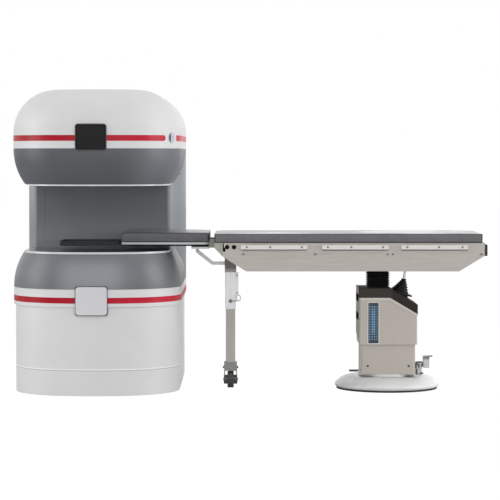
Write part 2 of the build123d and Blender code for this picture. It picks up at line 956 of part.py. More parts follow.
collar_half_width = upper_half_width + soft_gap + sheet_wall
collar_half_depth = upper_half_depth + soft_gap + sheet_wall
with BuildPart() as pedestal_collar:
    add(
        pedestal_block(
            collar_half_width, collar_half_depth, collar_bottom, collar_top,
            pedestal_corner + sheet_wall, sloping_bottom=True,
        )
    )
    fillet(
        pedestal_collar.edges().group_by(Axis.Z)[-1] + pedestal_collar.edges().filter_by(
            lambda edge: abs(edge.tangent_at(0.5).Z) > 0.1 and abs(edge.tangent_at(0.5).X) > 0.1
            and edge.center().Z > collar_top - slope_drop(edge.center().X) - 1
        ),
        radius=collar_round,
    )
    add(
        pedestal_block(
            collar_half_width - sheet_wall, collar_half_depth - sheet_wall,
            collar_bottom - collar_height, collar_top - sheet_wall, pedestal_corner,
            sloping_bottom=True,
        ),
        mode=Mode.SUBTRACT,
    )
    with BuildSketch(Plane.XY.offset(collar_bottom)):
        with Locations((mast_x, 0)):
            Rectangle(
                mast_width - 2 * mast_wall + 2 * sliding_gap,
                mast_width - 2 * mast_wall + 2 * sliding_gap,
            )
        with Locations((mast_x + rod_hole_offset, 0)):
            Circle(rod_hole_radius)
    extrude(amount=2 * collar_height, both=True, mode=Mode.SUBTRACT)
write(pedestal_collar, "pedestal_collar")

front_y = -upper_half_depth
post_left = pedestal_x - upper_half_width - post_width
with BuildPart() as side_post:
    with BuildSketch(Plane.XZ.offset(-post_half_depth)):
        with BuildLine():
            Polyline(
                (post_left, post_bottom + post_chamfer), (post_left, post_top),
                (post_left + post_width - soft_gap - sheet_wall, post_top),
                (post_left + post_width - soft_gap - sheet_wall, collar_bottom),
                (post_left + post_width, collar_bottom),
                (post_left + post_width, post_bottom), close=True,
            )
        make_face()
    extrude(amount=2 * post_half_depth)
write(side_post, "side_post")

with BuildPart() as side_sockets:
    for middle in socket_heights:
        with BuildSketch(Plane.YZ.offset(post_left)):
            with Locations((0, middle)):
                RectangleRounded(2 * socket_half_depth, socket_height, socket_corner)
        extrude(amount=-socket_depth)
        with BuildSketch(Plane.YZ.offset(post_left - socket_depth)):
            with Locations((0, middle)):
                Circle(socket_height / 4)
        extrude(amount=socket_depth / 2, mode=Mode.SUBTRACT)
write(side_sockets, "side_sockets")

# Window: white frame round a lattice with diamond recesses
window_plane = Plane.XZ.offset(-front_y)
with BuildPart() as window_frame:
    with BuildSketch(window_plane):
        with Locations((window_x, window_middle)):
            RectangleRounded(
                window_width + 2 * window_frame_width, window_height + 2 * window_frame_width,
                window_corner,
            )
            Rectangle(window_width, window_height, mode=Mode.SUBTRACT)
    extrude(amount=window_frame_proud)
write(window_frame, "window_frame")

lattice_width = window_width - 2 * soft_gap
lattice_height = window_height - 2 * soft_gap
lattice_columns = int((lattice_width - 2 * lattice_border) / lattice_pitch)
lattice_rows = int((lattice_height - 2 * lattice_border) / lattice_pitch)
diamond = (lattice_pitch - lattice_bar) / sqrt(2)
with BuildPart() as window_lattice:
    with BuildSketch(window_plane.offset(-lattice_thickness)):
        with Locations((window_x, window_middle)):
            Rectangle(lattice_width, lattice_height)
    extrude(amount=lattice_thickness)
    with BuildSketch(window_plane):
        with Locations((window_x, window_middle)):
            with GridLocations(lattice_pitch, lattice_pitch, lattice_columns, lattice_rows):
                Rectangle(diamond, diamond, rotation=45)
    extrude(amount=-lattice_thickness / 2, mode=Mode.SUBTRACT)
write(window_lattice, "window_lattice")

# Lifting column: square tube, flange, and a head with two trunnions for the table top
lift_width = mast_width - 2 * mast_wall - 2 * sliding_gap
flange_bottom_z = frame_bottom - lift_stop_gap - lift_flange_thickness
with BuildPart() as lift_column:
    with BuildSketch(Plane.XY.offset(lift_bottom)):
        with Locations((mast_x, 0)):
            Rectangle(lift_width, lift_width)
            Rectangle(lift_width - 2 * lift_wall, lift_width - 2 * lift_wall, mode=Mode.SUBTRACT)
    extrude(amount=flange_bottom_z - lift_bottom)
    with BuildSketch(Plane.XY.offset(flange_bottom_z)):
        with Locations((mast_x, 0)):
            RectangleRounded(lift_flange, lift_flange, lift_flange_corner)
    extrude(amount=lift_flange_thickness)
    with BuildSketch(Plane.XY.offset(flange_bottom_z + lift_flange_thickness)):
        with Locations((mast_x, 0)):
            Rectangle(head_width, 2 * head_half_depth)
    extrude(amount=trunnion_z + 2 * trunnion_radius - flange_bottom_z - lift_flange_thickness)
    with BuildSketch(Plane.XZ.offset(-trunnion_half_length)):
        with Locations((mast_x, trunnion_z)):
            Circle(trunnion_radius)
    extrude(amount=2 * trunnion_half_length)
write(lift_column, "lift_column")

bellows_height = flange_bottom_z - collar_top
fold_height = bellows_height / bellows_folds
bellows_bore = lift_width + 2 * bellows_clearance
with BuildPart() as lift_bellows:
    for fold in range(bellows_folds):
        fold_z = collar_top + fold * fold_height
        for level, size in (
            (fold_z, bellows_width - 2 * bellows_fold_depth),
            (fold_z + fold_height / 2, bellows_width),
            (fold_z + fold_height, bellows_width - 2 * bellows_fold_depth),
        ):
            with BuildSketch(Plane.XY.offset(level)):
                with Locations((mast_x, 0)):
                    RectangleRounded(size, size, size / 10)
        loft(ruled=True)
    with BuildSketch(Plane.XY.offset(collar_top)):
        with Locations((mast_x, 0)):
            Rectangle(bellows_bore, bellows_bore)
    extrude(amount=bellows_height, mode=Mode.SUBTRACT)
write(lift_bellows, "lift_bellows")


# Tilt actuator: its line leans from the vertical and passes through one known point
def rod_x(z):
    """Where the actuator's axis lies at a height."""
    return mast_x + rod_neck_offset + (z - rod_neck_z) * tan(radians(rod_lean))


def rod_plane(z):
    """Plane square to the actuator's axis at a height."""
    lean = radians(rod_lean)
    return Plane(origin=(rod_x(z), 0, z), x_dir=(0, 1, 0), z_dir=(sin(lean), 0, cos(lean)))


rod_stretch = 1 / cos(radians(rod_lean))
with BuildPart() as actuator_tube:
    with BuildSketch(rod_plane(actuator_bottom_z)):
        Circle(actuator_radius)
    extrude(amount=(actuator_top_z - actuator_bottom_z) * rod_stretch)
    bracket_start = mast_x + lift_width / 2
    bracket_end = rod_x(actuator_bottom_z)
    bracket_middle_z = actuator_bottom_z + actuator_bracket_height / 2
    with BuildSketch(Plane.YZ.offset(bracket_start)):
        with Locations((0, bracket_middle_z)):
            Rectangle(mast_slot_width - 2 * slot_clearance, actuator_bracket_height)
    extrude(amount=bracket_end - bracket_start)
    with BuildSketch(rod_plane(actuator_bottom_z + rod_radius)):
        Circle(rod_radius + sliding_gap)
    extrude(amount=actuator_top_z, mode=Mode.SUBTRACT)
write(actuator_tube, "actuator_tube")

with BuildPart() as tilt_rod:
    with BuildSketch(rod_plane(rod_bottom_z)):
        Circle(rod_radius)
    extrude(amount=(rod_eye_z - rod_bottom_z) * rod_stretch)
    with BuildSketch(Plane.XZ.offset(-rod_eye_thickness / 2)):
        with Locations((rod_x(rod_eye_z), rod_eye_z)):
            Circle(rod_eye_radius)
    extrude(amount=rod_eye_thickness)
    with BuildSketch(Plane.XZ.offset(-rod_eye_thickness)):
        with Locations((rod_x(rod_eye_z), rod_eye_z)):
            Circle(rod_eye_bore / 2)
    extrude(amount=2 * rod_eye_thickness, mode=Mode.SUBTRACT)
write(tilt_rod, "tilt_rod")


boot_foot_x = mast_x + boot_foot_offset
boot_foot = Vector(boot_foot_x, 0, collar_top - slope_drop(boot_foot_x))
boot_neck = Vector(rod_x(rod_neck_z), 0, rod_neck_z)


def boot_plane(share):
    """Plane of the boot's section at a share of the way from its sloping foot to its neck."""
    lean = radians(collar_slope + (rod_lean - collar_slope) * share)
    centre = boot_foot + (boot_neck - boot_foot) * share
    return Plane(origin=centre, x_dir=(0, 1, 0), z_dir=(sin(lean), 0, cos(lean)))


boot_steps = 2 * boot_folds
with BuildPart() as actuator_boot:
    for step in range(boot_steps + 1):
        share = step / boot_steps
        ridge = boot_fold_depth if step % 2 == 0 else 0
        taper_radius = boot_base_radius + (boot_top_radius - boot_base_radius) * share
        with BuildSketch(boot_plane(share)):
            Circle(taper_radius - boot_fold_depth + ridge)
    loft(ruled=True)
    for share, bore in (
        (0, boot_base_radius - 3 * boot_fold_depth), (1, rod_radius + boot_neck_gap)
    ):
        with BuildSketch(boot_plane(share)):
            Circle(bore)
    loft(ruled=True, mode=Mode.SUBTRACT)
write(actuator_boot, "actuator_boot")


def side_profile(points, half_depth):
    """Prism across the table from a side view outline."""
    with BuildPart(mode=Mode.PRIVATE) as prism:
        with BuildSketch(Plane.XZ.offset(-half_depth)):
            with BuildLine():
                Polyline(*points, close=True)
            make_face()
        extrude(amount=2 * half_depth)
    return prism.part


# Table top frame: folded sheet box with slanted ends, open where the lift enters
frame_outline = [
    (frame_left, frame_top), (frame_left, frame_slope_start[1]), frame_slope_knee,
    (frame_slope_end_x, frame_bottom), (frame_tail_x, frame_bottom),
    (frame_right, frame_tail_z), (frame_right, frame_top),
]
lift_opening = lift_flange + 2 * opening_margin
clevis_width = 2 * (rod_eye_radius + clevis_margin)
rod_opening = clevis_width + 2 * opening_margin
with BuildPart() as table_frame:
    add(side_profile(frame_outline, frame_half_depth))
    fillet(table_frame.edges().filter_by(Axis.X), radius=edge_round)
    with BuildSketch(Plane.XZ.offset(-frame_half_depth + frame_sheet)):
        with BuildLine():
            Polyline(*frame_outline, close=True)
        make_face()
        offset(amount=-frame_sheet, kind=Kind.INTERSECTION, mode=Mode.REPLACE)
    extrude(amount=2 * (frame_half_depth - frame_sheet), mode=Mode.SUBTRACT)
    with BuildSketch(Plane.XY.offset(frame_bottom - frame_sheet)):
        with Locations((mast_x, 0)):
            Rectangle(lift_opening, 2 * (trunnion_half_length + opening_margin))
        with Locations((rod_x(frame_bottom), 0)):
            Rectangle(rod_opening, rod_opening)
    extrude(amount=3 * frame_sheet, mode=Mode.SUBTRACT)
    with BuildSketch(Plane.XZ.offset(-2 * frame_half_depth)):
        with Locations((frame_slot_x, (frame_slot_top + frame_slot_bottom) / 2)):
            Rectangle(frame_slot_width, frame_slot_top - frame_slot_bottom)
    extrude(amount=4 * frame_half_depth, mode=Mode.SUBTRACT)
write(table_frame, "table_frame")

frame_ceiling = frame_top - frame_sheet
cheek_width = 4 * trunnion_radius
cheek_y = trunnion_half_length - cheek_thickness / 2 - cheek_inset
clevis_y = rod_eye_thickness / 2 + clevis_gap + clevis_wall / 2
with BuildPart() as tilt_bracket:
    for side in (-1, 1):
        with BuildSketch(Plane.XZ.offset(-side * cheek_y - cheek_thickness / 2)):
            with Locations((mast_x, trunnion_z)):
                Circle(cheek_width / 2)
            with Locations((mast_x, (trunnion_z + frame_ceiling) / 2)):
                Rectangle(cheek_width, frame_ceiling - trunnion_z)
            with Locations((mast_x, trunnion_z)):
                Circle(trunnion_radius + turning_gap, mode=Mode.SUBTRACT)
        extrude(amount=cheek_thickness)
        with BuildSketch(Plane.XZ.offset(-side * clevis_y - clevis_wall / 2)):
            with Locations((rod_x(rod_eye_z), rod_eye_z)):
                Circle(clevis_width / 2)
            with Locations((rod_x(rod_eye_z), (rod_eye_z + frame_ceiling) / 2)):
                Rectangle(clevis_width, frame_ceiling - rod_eye_z)
        extrude(amount=clevis_wall)
    with BuildSketch(Plane.XZ.offset(-clevis_y)):
        with Locations((rod_x(rod_eye_z), rod_eye_z)):
            Circle(clevis_pin_radius)
    extrude(amount=2 * clevis_y)
write(tilt_bracket, "tilt_bracket")

with BuildPart() as end_bracket:
    add(
        side_profile(
            [
                (bracket_left, frame_top), (bracket_left, bracket_lower_z), bracket_knee,
                (frame_left, frame_slope_start[1]), (frame_left, frame_top),
            ],
            frame_half_depth - bracket_inset,
        )
    )
write(end_bracket, "end_bracket")

rail_y = frame_half_depth + rail_standoff
with BuildPart() as rail_bars:
    for side in (-1, 1):
        with BuildSketch(Plane.XZ.offset(-side * rail_y)):
            with Locations([(rail_left + rail_length / 2, rail_z) for rail_left in rail_lefts]):
                RectangleRounded(rail_length, rail_height, rail_corner)
        extrude(amount=-side * rail_thickness)

with BuildPart() as rail_spacers:
    for side in (-1, 1):
        with BuildSketch(Plane.XZ.offset(-side * rail_y)):
            for rail_left in rail_lefts:
                with Locations([(rail_left + bolt, rail_z) for bolt in rail_bolts]):
                    Circle(rail_spacer_radius)
        extrude(amount=side * rail_standoff)

# The bars and the spacers that they are bolted on stay separate solids
side_rails = Compound([*rail_bars.part.solids(), *rail_spacers.part.solids()])
side_rails.label = "side_rails"
export_step(side_rails, "parts/side_rails.step")

mattress_length = mattress_right - mattress_left
with BuildPart() as mattress:
    with BuildSketch(Plane.XY.offset(frame_top + soft_gap)):
        with Locations((mattress_left + mattress_length / 2, 0)):
            RectangleRounded(mattress_length, 2 * mattress_half_depth, mattress_corner)
    extrude(amount=mattress_thickness)
    fillet(mattress.edges().group_by(Axis.Z)[0] + mattress.edges().group_by(Axis.Z)[-1], mattress_edge)
write(mattress, "mattress")

bumper_height = frame_top - bumper_bottom - bumper_top_gap
rib_pitch = bumper_height / bumper_ribs
with BuildPart() as end_bumper:
    with BuildSketch(Plane.YZ.offset(frame_right)):
        with Locations((0, bumper_bottom + bumper_height / 2)):
            RectangleRounded(2 * bumper_half_depth, bumper_height, bumper_corner)
    extrude(amount=bumper_thickness)
    with BuildSketch(Plane.YZ.offset(frame_right + bumper_thickness)):
        with Locations((0, bumper_bottom + bumper_height / 2)):
            with GridLocations(0, rib_pitch, 1, bumper_ribs - 1):
                Rectangle(2 * bumper_half_depth, rib_pitch / 4)
    extrude(amount=-bumper_thickness / 3, mode=Mode.SUBTRACT)
write(end_bumper, "end_bumper")

# Board: light frame, dark tray that reaches into the magnet, pad on top
board_length = board_right - board_left
board_top = board_frame_bottom + board_frame_thickness
with BuildPart() as board_frame:
    with BuildSketch(Plane.XY.offset(board_frame_bottom)):
        with Locations((board_left + board_length / 2, 0)):
            RectangleRounded(board_length, 2 * board_half_depth, board_pad_corner)
    extrude(amount=board_frame_thickness)
    with BuildSketch(Plane.XY.offset(knuckle_bottom)):
        with Locations((0, knuckle_y), (0, -knuckle_y)):
            with Locations(((board_right + bracket_left) / 2, 0)):
                Rectangle(bracket_left - board_right, 2 * knuckle_half_width)
    extrude(amount=knuckle_top - knuckle_bottom)
write(board_frame, "board_frame")

tray_length = tray_right - tray_left
with BuildPart() as board_tray:
    with BuildSketch(Plane.XY.offset(tray_bottom)):
        with Locations((tray_left + tray_length / 2, 0)):
            RectangleRounded(tray_length, 2 * tray_half_depth, board_pad_corner)
    extrude(amount=board_frame_bottom - tray_bottom)
    free_length = board_left - cover_seam - tray_left
    with BuildSketch(Plane.XY.offset(board_frame_bottom)):
        with Locations((tray_left + free_length / 2, 0)):
            RectangleRounded(free_length, 2 * tray_half_depth, board_pad_corner)
            RectangleRounded(
                free_length - 2 * tray_rim, 2 * (tray_half_depth - tray_rim),
                board_pad_corner - tray_rim, mode=Mode.SUBTRACT,
            )
    extrude(amount=tray_rim_top - board_frame_bottom)
write(board_tray, "board_tray")

with BuildPart() as board_pad:
    with BuildSketch(Plane.XY.offset(board_top + soft_gap)):
        with Locations((board_left + board_length / 2, 0)):
            RectangleRounded(board_length, 2 * board_half_depth, board_pad_corner)
    extrude(amount=board_pad_thickness)
    fillet(
        board_pad.edges().group_by(Axis.Z)[0] + board_pad.edges().group_by(Axis.Z)[-1],
        board_pad_edge,
    )
write(board_pad, "board_pad")

# Leg head fills the wedge under the frame's slanted end, with the brace to the board
leg_left, leg_right = leg_x - leg_head_width / 2, leg_x + leg_head_width / 2
slope_rate = (frame_slope_knee[1] - frame_bottom) / (frame_slope_end_x - frame_slope_knee[0])


def slope_z(x):
    """Height of the frame's slanted underside."""
    return frame_slope_knee[1] - (x - frame_slope_knee[0]) * slope_rate


with BuildPart() as leg_head:
    add(
        side_profile(
            [
                (leg_left, leg_head_bottom), (leg_left, slope_z(frame_slope_knee[0])),
                (frame_slope_knee[0], slope_z(frame_slope_knee[0])),
                (leg_right, slope_z(leg_right)), (leg_right, leg_head_bottom),
            ],
            leg_head_width / 2,
        )
    )
write(leg_head, "leg_head")

brace_foot_z = tray_bottom - brace_pad_thickness
with BuildPart() as leg_brace:
    with BuildSketch(Plane.XY.offset(brace_foot_z)):
        with Locations(((brace_pad_left + brace_pad_right) / 2, 0)):
            RectangleRounded(
                brace_pad_right - brace_pad_left, 2 * brace_depth, brace_pad_corner
            )
    extrude(amount=brace_pad_thickness)
    with BuildSketch(Plane.XZ.offset(-brace_depth / 2)):
        with BuildLine():
            FilletPolyline(
                (brace_foot_x, brace_foot_z + brace_overlap), (brace_foot_x, brace_foot_z - brace_drop),
                (brace_knee_x, brace_z), (leg_left, brace_z), radius=brace_bend,
            )
        trace(line_width=brace_height)
    extrude(amount=brace_depth)
write(leg_brace, "leg_brace")

tube_width = leg_width - 2 * leg_wall - 2 * sliding_gap
with BuildPart() as leg_sleeve:
    with BuildSketch(Plane.XY.offset(sleeve_bottom)):
        with Locations((leg_x, 0)):
            RectangleRounded(leg_width, leg_width, leg_corner)
            Rectangle(leg_width - 2 * leg_wall, leg_width - 2 * leg_wall, mode=Mode.SUBTRACT)
    extrude(amount=leg_head_bottom - sleeve_bottom)
    with BuildSketch(Plane.XZ.offset(leg_width / 2 - leg_corner)):
        with Locations((leg_x + leg_width / 2 + flange_width / 2, (flange_bottom + flange_top) / 2)):
            Rectangle(flange_width, flange_top - flange_bottom)
            with GridLocations(0, flange_hole_pitch, 1, 2):
                Circle(flange_hole_radius, mode=Mode.SUBTRACT)
    extrude(amount=-2 * leg_wall)
write(leg_sleeve, "leg_sleeve")

clamp_plane_y = -leg_width / 2 - turning_gap
with BuildPart() as clamp_lever:
    with BuildSketch(Plane.XZ.offset(-clamp_plane_y)):
        with Locations((leg_x, clamp_z)):
            Circle(clamp_hub_radius)
    extrude(amount=clamp_hub_length)
    with BuildSketch(Plane.XZ.offset(-clamp_plane_y)):
        with Locations((leg_x + clamp_loop_reach / 2, clamp_z)):
            Rectangle(clamp_loop_reach, clamp_arm_width)
        with Locations((leg_x + clamp_loop_reach, clamp_z + clamp_loop_rise)):
            SlotOverall(clamp_loop_height, clamp_loop_width, rotation=90)
            SlotOverall(
                clamp_loop_height - 2 * clamp_arm_width, clamp_loop_width - 2 * clamp_arm_width,
                rotation=90, mode=Mode.SUBTRACT,
            )
    extrude(amount=clamp_thickness)
write(clamp_lever, "clamp_lever")

with BuildPart() as leg_tube:
    with BuildSketch(Plane.XY.offset(leg_tube_bottom)):
        with Locations((leg_x, 0)):
            RectangleRounded(tube_width, tube_width, leg_wall + 1)
            Rectangle(tube_width - 2 * leg_wall, tube_width - 2 * leg_wall, mode=Mode.SUBTRACT)
    extrude(amount=leg_tube_top - leg_tube_bottom)
write(leg_tube, "leg_tube")

with BuildPart() as castor_fork:
    with BuildSketch(Plane.XY.offset(fork_block_bottom)):
        with Locations((leg_x, 0)):
            RectangleRounded(fork_width, fork_depth, fork_corner)
    extrude(amount=leg_tube_bottom - fork_block_bottom)
    for side in (-1, 1):
        with BuildSketch(Plane.YZ.offset(leg_x + side * (fork_width / 2) - (side + 1) / 2 * fork_leg)):
            with Locations((0, castor_radius)):
                Circle(fork_eye_radius)
            with BuildLine():
                Polyline(
                    (-fork_waist / 2, castor_radius), (fork_corner - fork_depth / 2, fork_block_bottom),
                    (fork_depth / 2 - fork_corner, fork_block_bottom), (fork_waist / 2, castor_radius),
                    close=True,
                )
            make_face()
        extrude(amount=fork_leg)
    with BuildSketch(Plane.YZ.offset(leg_x - fork_width / 2 - fork_leg)):
        with Locations((0, castor_radius)):
            Circle(castor_axle_radius)
    extrude(amount=fork_width + 2 * fork_leg)
write(castor_fork, "castor_fork")

with BuildPart() as castor_wheel:
    with BuildSketch(Plane.YZ.offset(leg_x - castor_tread / 2)):
        with Locations((0, castor_radius)):
            Circle(castor_radius)
    extrude(amount=castor_tread)
    fillet(castor_wheel.edges(), radius=castor_tread_round)
    with BuildSketch(Plane.YZ.offset(leg_x - castor_hub_width / 2)):
        with Locations((0, castor_radius)):
            Circle(castor_hub_radius)
    extrude(amount=castor_hub_width)
    with BuildSketch(Plane.YZ.offset(leg_x - castor_hub_width)):
        with Locations((0, castor_radius)):
            Circle(castor_axle_radius + turning_gap)
    extrude(amount=2 * castor_hub_width, mode=Mode.SUBTRACT)
write(castor_wheel, "castor_wheel")

# Pedals at the foot of the pedestal
lower_right = pedestal_x + pedestal_width / 2
lower_left = pedestal_x - pedestal_width / 2
foot_bar_right = lower_left - foot_bar_gap
foot_pivot_x = lower_left - foot_pivot_reach
pivot_x, pivot_z = pedal_pivot
with BuildPart() as pedal_bracket:
    for side in (-1, 1):
        bracket_y = pedal_y + side * (pedal_width / 2 + turning_gap + pedal_bracket_plate / 2)
        with BuildSketch(Plane.XZ.offset(-bracket_y - pedal_bracket_plate / 2)):
            with Locations(
                (lower_right + pedal_bracket_width / 2, (pedal_bracket_top + pedal_bracket_bottom) / 2)
            ):
                Rectangle(pedal_bracket_width, pedal_bracket_top - pedal_bracket_bottom)
        extrude(amount=pedal_bracket_plate)
    bracket_span = pedal_width + 2 * turning_gap + 2 * pedal_bracket_plate
    with BuildSketch(Plane.YZ.offset(lower_right)):
        with Locations((pedal_y, (pedal_bracket_top + pedal_bracket_bottom) / 2)):
            Rectangle(bracket_span, pedal_bracket_top - pedal_bracket_bottom)
    extrude(amount=pedal_bracket_plate)
    with BuildSketch(Plane.XZ.offset(-pedal_y - bracket_span / 2)):
        with Locations(pedal_pivot):
            Circle(pedal_pin_radius)
    extrude(amount=bracket_span)
    ear_span = foot_bar_width + 2 * turning_gap + 2 * foot_ear
    for side in (-1, 1):
        ear_y = foot_bar_y + side * (ear_span - foot_ear) / 2
        with BuildSketch(Plane.XZ.offset(-ear_y - foot_ear / 2)):
            with Locations((foot_pivot_x, foot_bar_z)):
                Circle(foot_ear_radius)
            with Locations(((foot_pivot_x + lower_left) / 2, foot_bar_z)):
                Rectangle(lower_left - foot_pivot_x, 2 * foot_ear_radius)
        extrude(amount=foot_ear)
    with BuildSketch(Plane.XZ.offset(-foot_bar_y - ear_span / 2)):
        with Locations((foot_pivot_x, foot_bar_z)):
            Circle(foot_pin_radius)
    extrude(amount=ear_span)
write(pedal_bracket, "pedal_bracket")

pedal_cheek_height = pedal_cheek_top - pedal_cheek_bottom
pedal_cheek_middle = (pedal_cheek_top + pedal_cheek_bottom) / 2
with BuildPart() as brake_pedal:
    with BuildSketch(Plane.XZ.offset(-pedal_y - pedal_width / 2)):
        with Locations(pedal_pivot):
            Circle(2 * pedal_pin_radius)
        with Locations(((pivot_x + pedal_cheek_left) / 2, pivot_z)):
            Rectangle(pedal_cheek_left - pivot_x, pedal_arm_height)
        with Locations(pedal_pivot):
            Circle(pedal_pin_radius + turning_gap, mode=Mode.SUBTRACT)
        with Locations((pedal_cheek_left + pedal_sheet / 2, pedal_cheek_middle)):
            Rectangle(pedal_sheet, pedal_cheek_height)
        with BuildLine():
            Line(
                (pedal_cheek_left, pedal_cheek_top),
                (pedal_cheek_left + pedal_cheek_width + pedal_pad_reach, pedal_cheek_top + pedal_pad_rise),
            )
        trace(line_width=pedal_sheet)
    extrude(amount=pedal_width)
    for side in (-1, 1):
        cheek_face_y = pedal_y + side * (pedal_width - pedal_sheet) / 2
        with BuildSketch(Plane.XZ.offset(-cheek_face_y - pedal_sheet / 2)):
            with Locations((pedal_cheek_left + pedal_cheek_width / 2, pedal_cheek_middle)):
                Rectangle(pedal_cheek_width, pedal_cheek_height)
        extrude(amount=pedal_sheet)
write(brake_pedal, "brake_pedal")

with BuildPart() as foot_bar:
    with BuildSketch(Plane.XY.offset(foot_bar_z - foot_bar_height / 2)):
        with Locations((foot_bar_right - foot_bar_length / 2, foot_bar_y)):
            RectangleRounded(foot_bar_length, foot_bar_width, foot_bar_width / 2 - 1)
    extrude(amount=foot_bar_height)
    fillet(foot_bar.edges().group_by(Axis.Z)[-1], radius=foot_bar_round)
    with BuildSketch(Plane.XZ.offset(-foot_bar_y - foot_bar_width)):
        with Locations((foot_pivot_x, foot_bar_z)):
            Circle(foot_pin_radius + turning_gap)
    extrude(amount=2 * foot_bar_width, mode=Mode.SUBTRACT)
write(foot_bar, "foot_bar")
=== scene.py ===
"""An open magnetic resonance scanner and its patient table: finishes, soft goods, small parts and studio."""

from math import atan2, cos, pi, radians, sin

import bmesh
import bpy
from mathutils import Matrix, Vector


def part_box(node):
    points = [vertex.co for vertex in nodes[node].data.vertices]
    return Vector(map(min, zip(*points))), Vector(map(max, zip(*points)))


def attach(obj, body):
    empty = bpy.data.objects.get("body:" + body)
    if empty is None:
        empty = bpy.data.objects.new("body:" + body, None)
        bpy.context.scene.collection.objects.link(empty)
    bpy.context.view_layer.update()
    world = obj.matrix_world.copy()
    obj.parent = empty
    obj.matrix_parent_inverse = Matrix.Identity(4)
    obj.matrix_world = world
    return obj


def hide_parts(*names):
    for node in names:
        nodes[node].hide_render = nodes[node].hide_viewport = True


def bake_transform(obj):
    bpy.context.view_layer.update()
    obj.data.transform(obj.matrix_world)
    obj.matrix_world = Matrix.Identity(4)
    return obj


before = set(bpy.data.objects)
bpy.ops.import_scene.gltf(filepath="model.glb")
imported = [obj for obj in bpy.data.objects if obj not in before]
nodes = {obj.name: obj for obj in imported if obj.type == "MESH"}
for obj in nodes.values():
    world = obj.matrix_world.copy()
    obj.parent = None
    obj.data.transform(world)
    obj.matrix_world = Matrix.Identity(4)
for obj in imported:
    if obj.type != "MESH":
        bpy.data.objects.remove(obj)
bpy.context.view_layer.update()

# Places on the solids that finishes and pieces share, in metres.

port_x, port_y, port_z = 0.4672, -0.3026, 1.565
port_turn = radians(60.5)
leg_x, clamp_z, wheel_z = 0.825, 0.547, 0.052
frame_side, rail_side = 0.295, 0.3098
mattress_low, mattress_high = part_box("mattress")
board_low, board_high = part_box("board_pad")


# Finishes. A Value is a socket, and arithmetic on it adds the nodes that work it out.


def rgb(red, green, blue):
    """A colour given from 0 to 255, as the shader's linear light."""
    linear = []
    for part in (red, green, blue):
        share = part / 255
        linear.append(share / 12.92 if share <= 0.04045 else ((share + 0.055) / 1.055) ** 2.4)
    return (*linear, 1)


def shade(colour, factor):
    return (*(part * factor for part in colour[:3]), 1)


class Value:
    """A number, place or colour that a node gives out."""

    def __init__(self, graph, socket):
        self.graph = graph
        self.socket = socket

    def math(self, operation, *terms):
        return self.graph.node("ShaderNodeMath", {"operation": operation}, dict(enumerate(terms)))

    def __add__(self, other):
        return self.math("ADD", self, other)

    def __radd__(self, other):
        return self.math("ADD", other, self)

    def __sub__(self, other):
        return self.math("SUBTRACT", self, other)

    def __rsub__(self, other):
        return self.math("SUBTRACT", other, self)

    def __mul__(self, other):
        return self.math("MULTIPLY", self, other)

    def __pow__(self, other):
        return self.math("POWER", self, other)

    def __abs__(self):
        return self.math("ABSOLUTE", self)

    def larger(self, other):
        return self.math("MAXIMUM", self, other)

    def sine(self):
        return self.math("SINE", self)

    def rise(self, low, high):
        """0 below low, 1 above high and a soft step between; a falling step where low is the higher."""
        sockets = {"Value": self, "From Min": low, "From Max": high}
        return self.graph.node("ShaderNodeMapRange", {"interpolation_type": "SMOOTHSTEP"}, sockets)

    def near(self, middle, half_width, softness):
        """1 within half_width of the middle, 0 outside."""
        return abs(self - middle).rise(half_width + softness, half_width)


class Graph:
    """The nodes of a material or of the world, round the shader that they feed."""

    def __init__(self, owner, shader):
        owner.use_nodes = True
        self.tree = owner.node_tree
        self.shader = self.tree.nodes[shader]

    def feed(self, socket, value):
        if isinstance(value, Value):
            self.tree.links.new(value.socket, socket)
        else:
            socket.default_value = value

    def set(self, name, value):
        self.feed(self.shader.inputs[name], value)

    def node(self, kind, settings=None, sockets=None, output=0):
        """Makes any node, with its settings, its inputs' values and the output to go on with."""
        made = self.tree.nodes.new(kind)
        for name, setting in (settings or {}).items():
            setattr(made, name, setting)
        for name, value in (sockets or {}).items():
            self.feed(made.inputs[name], value)
        return Value(self, made.outputs[output])


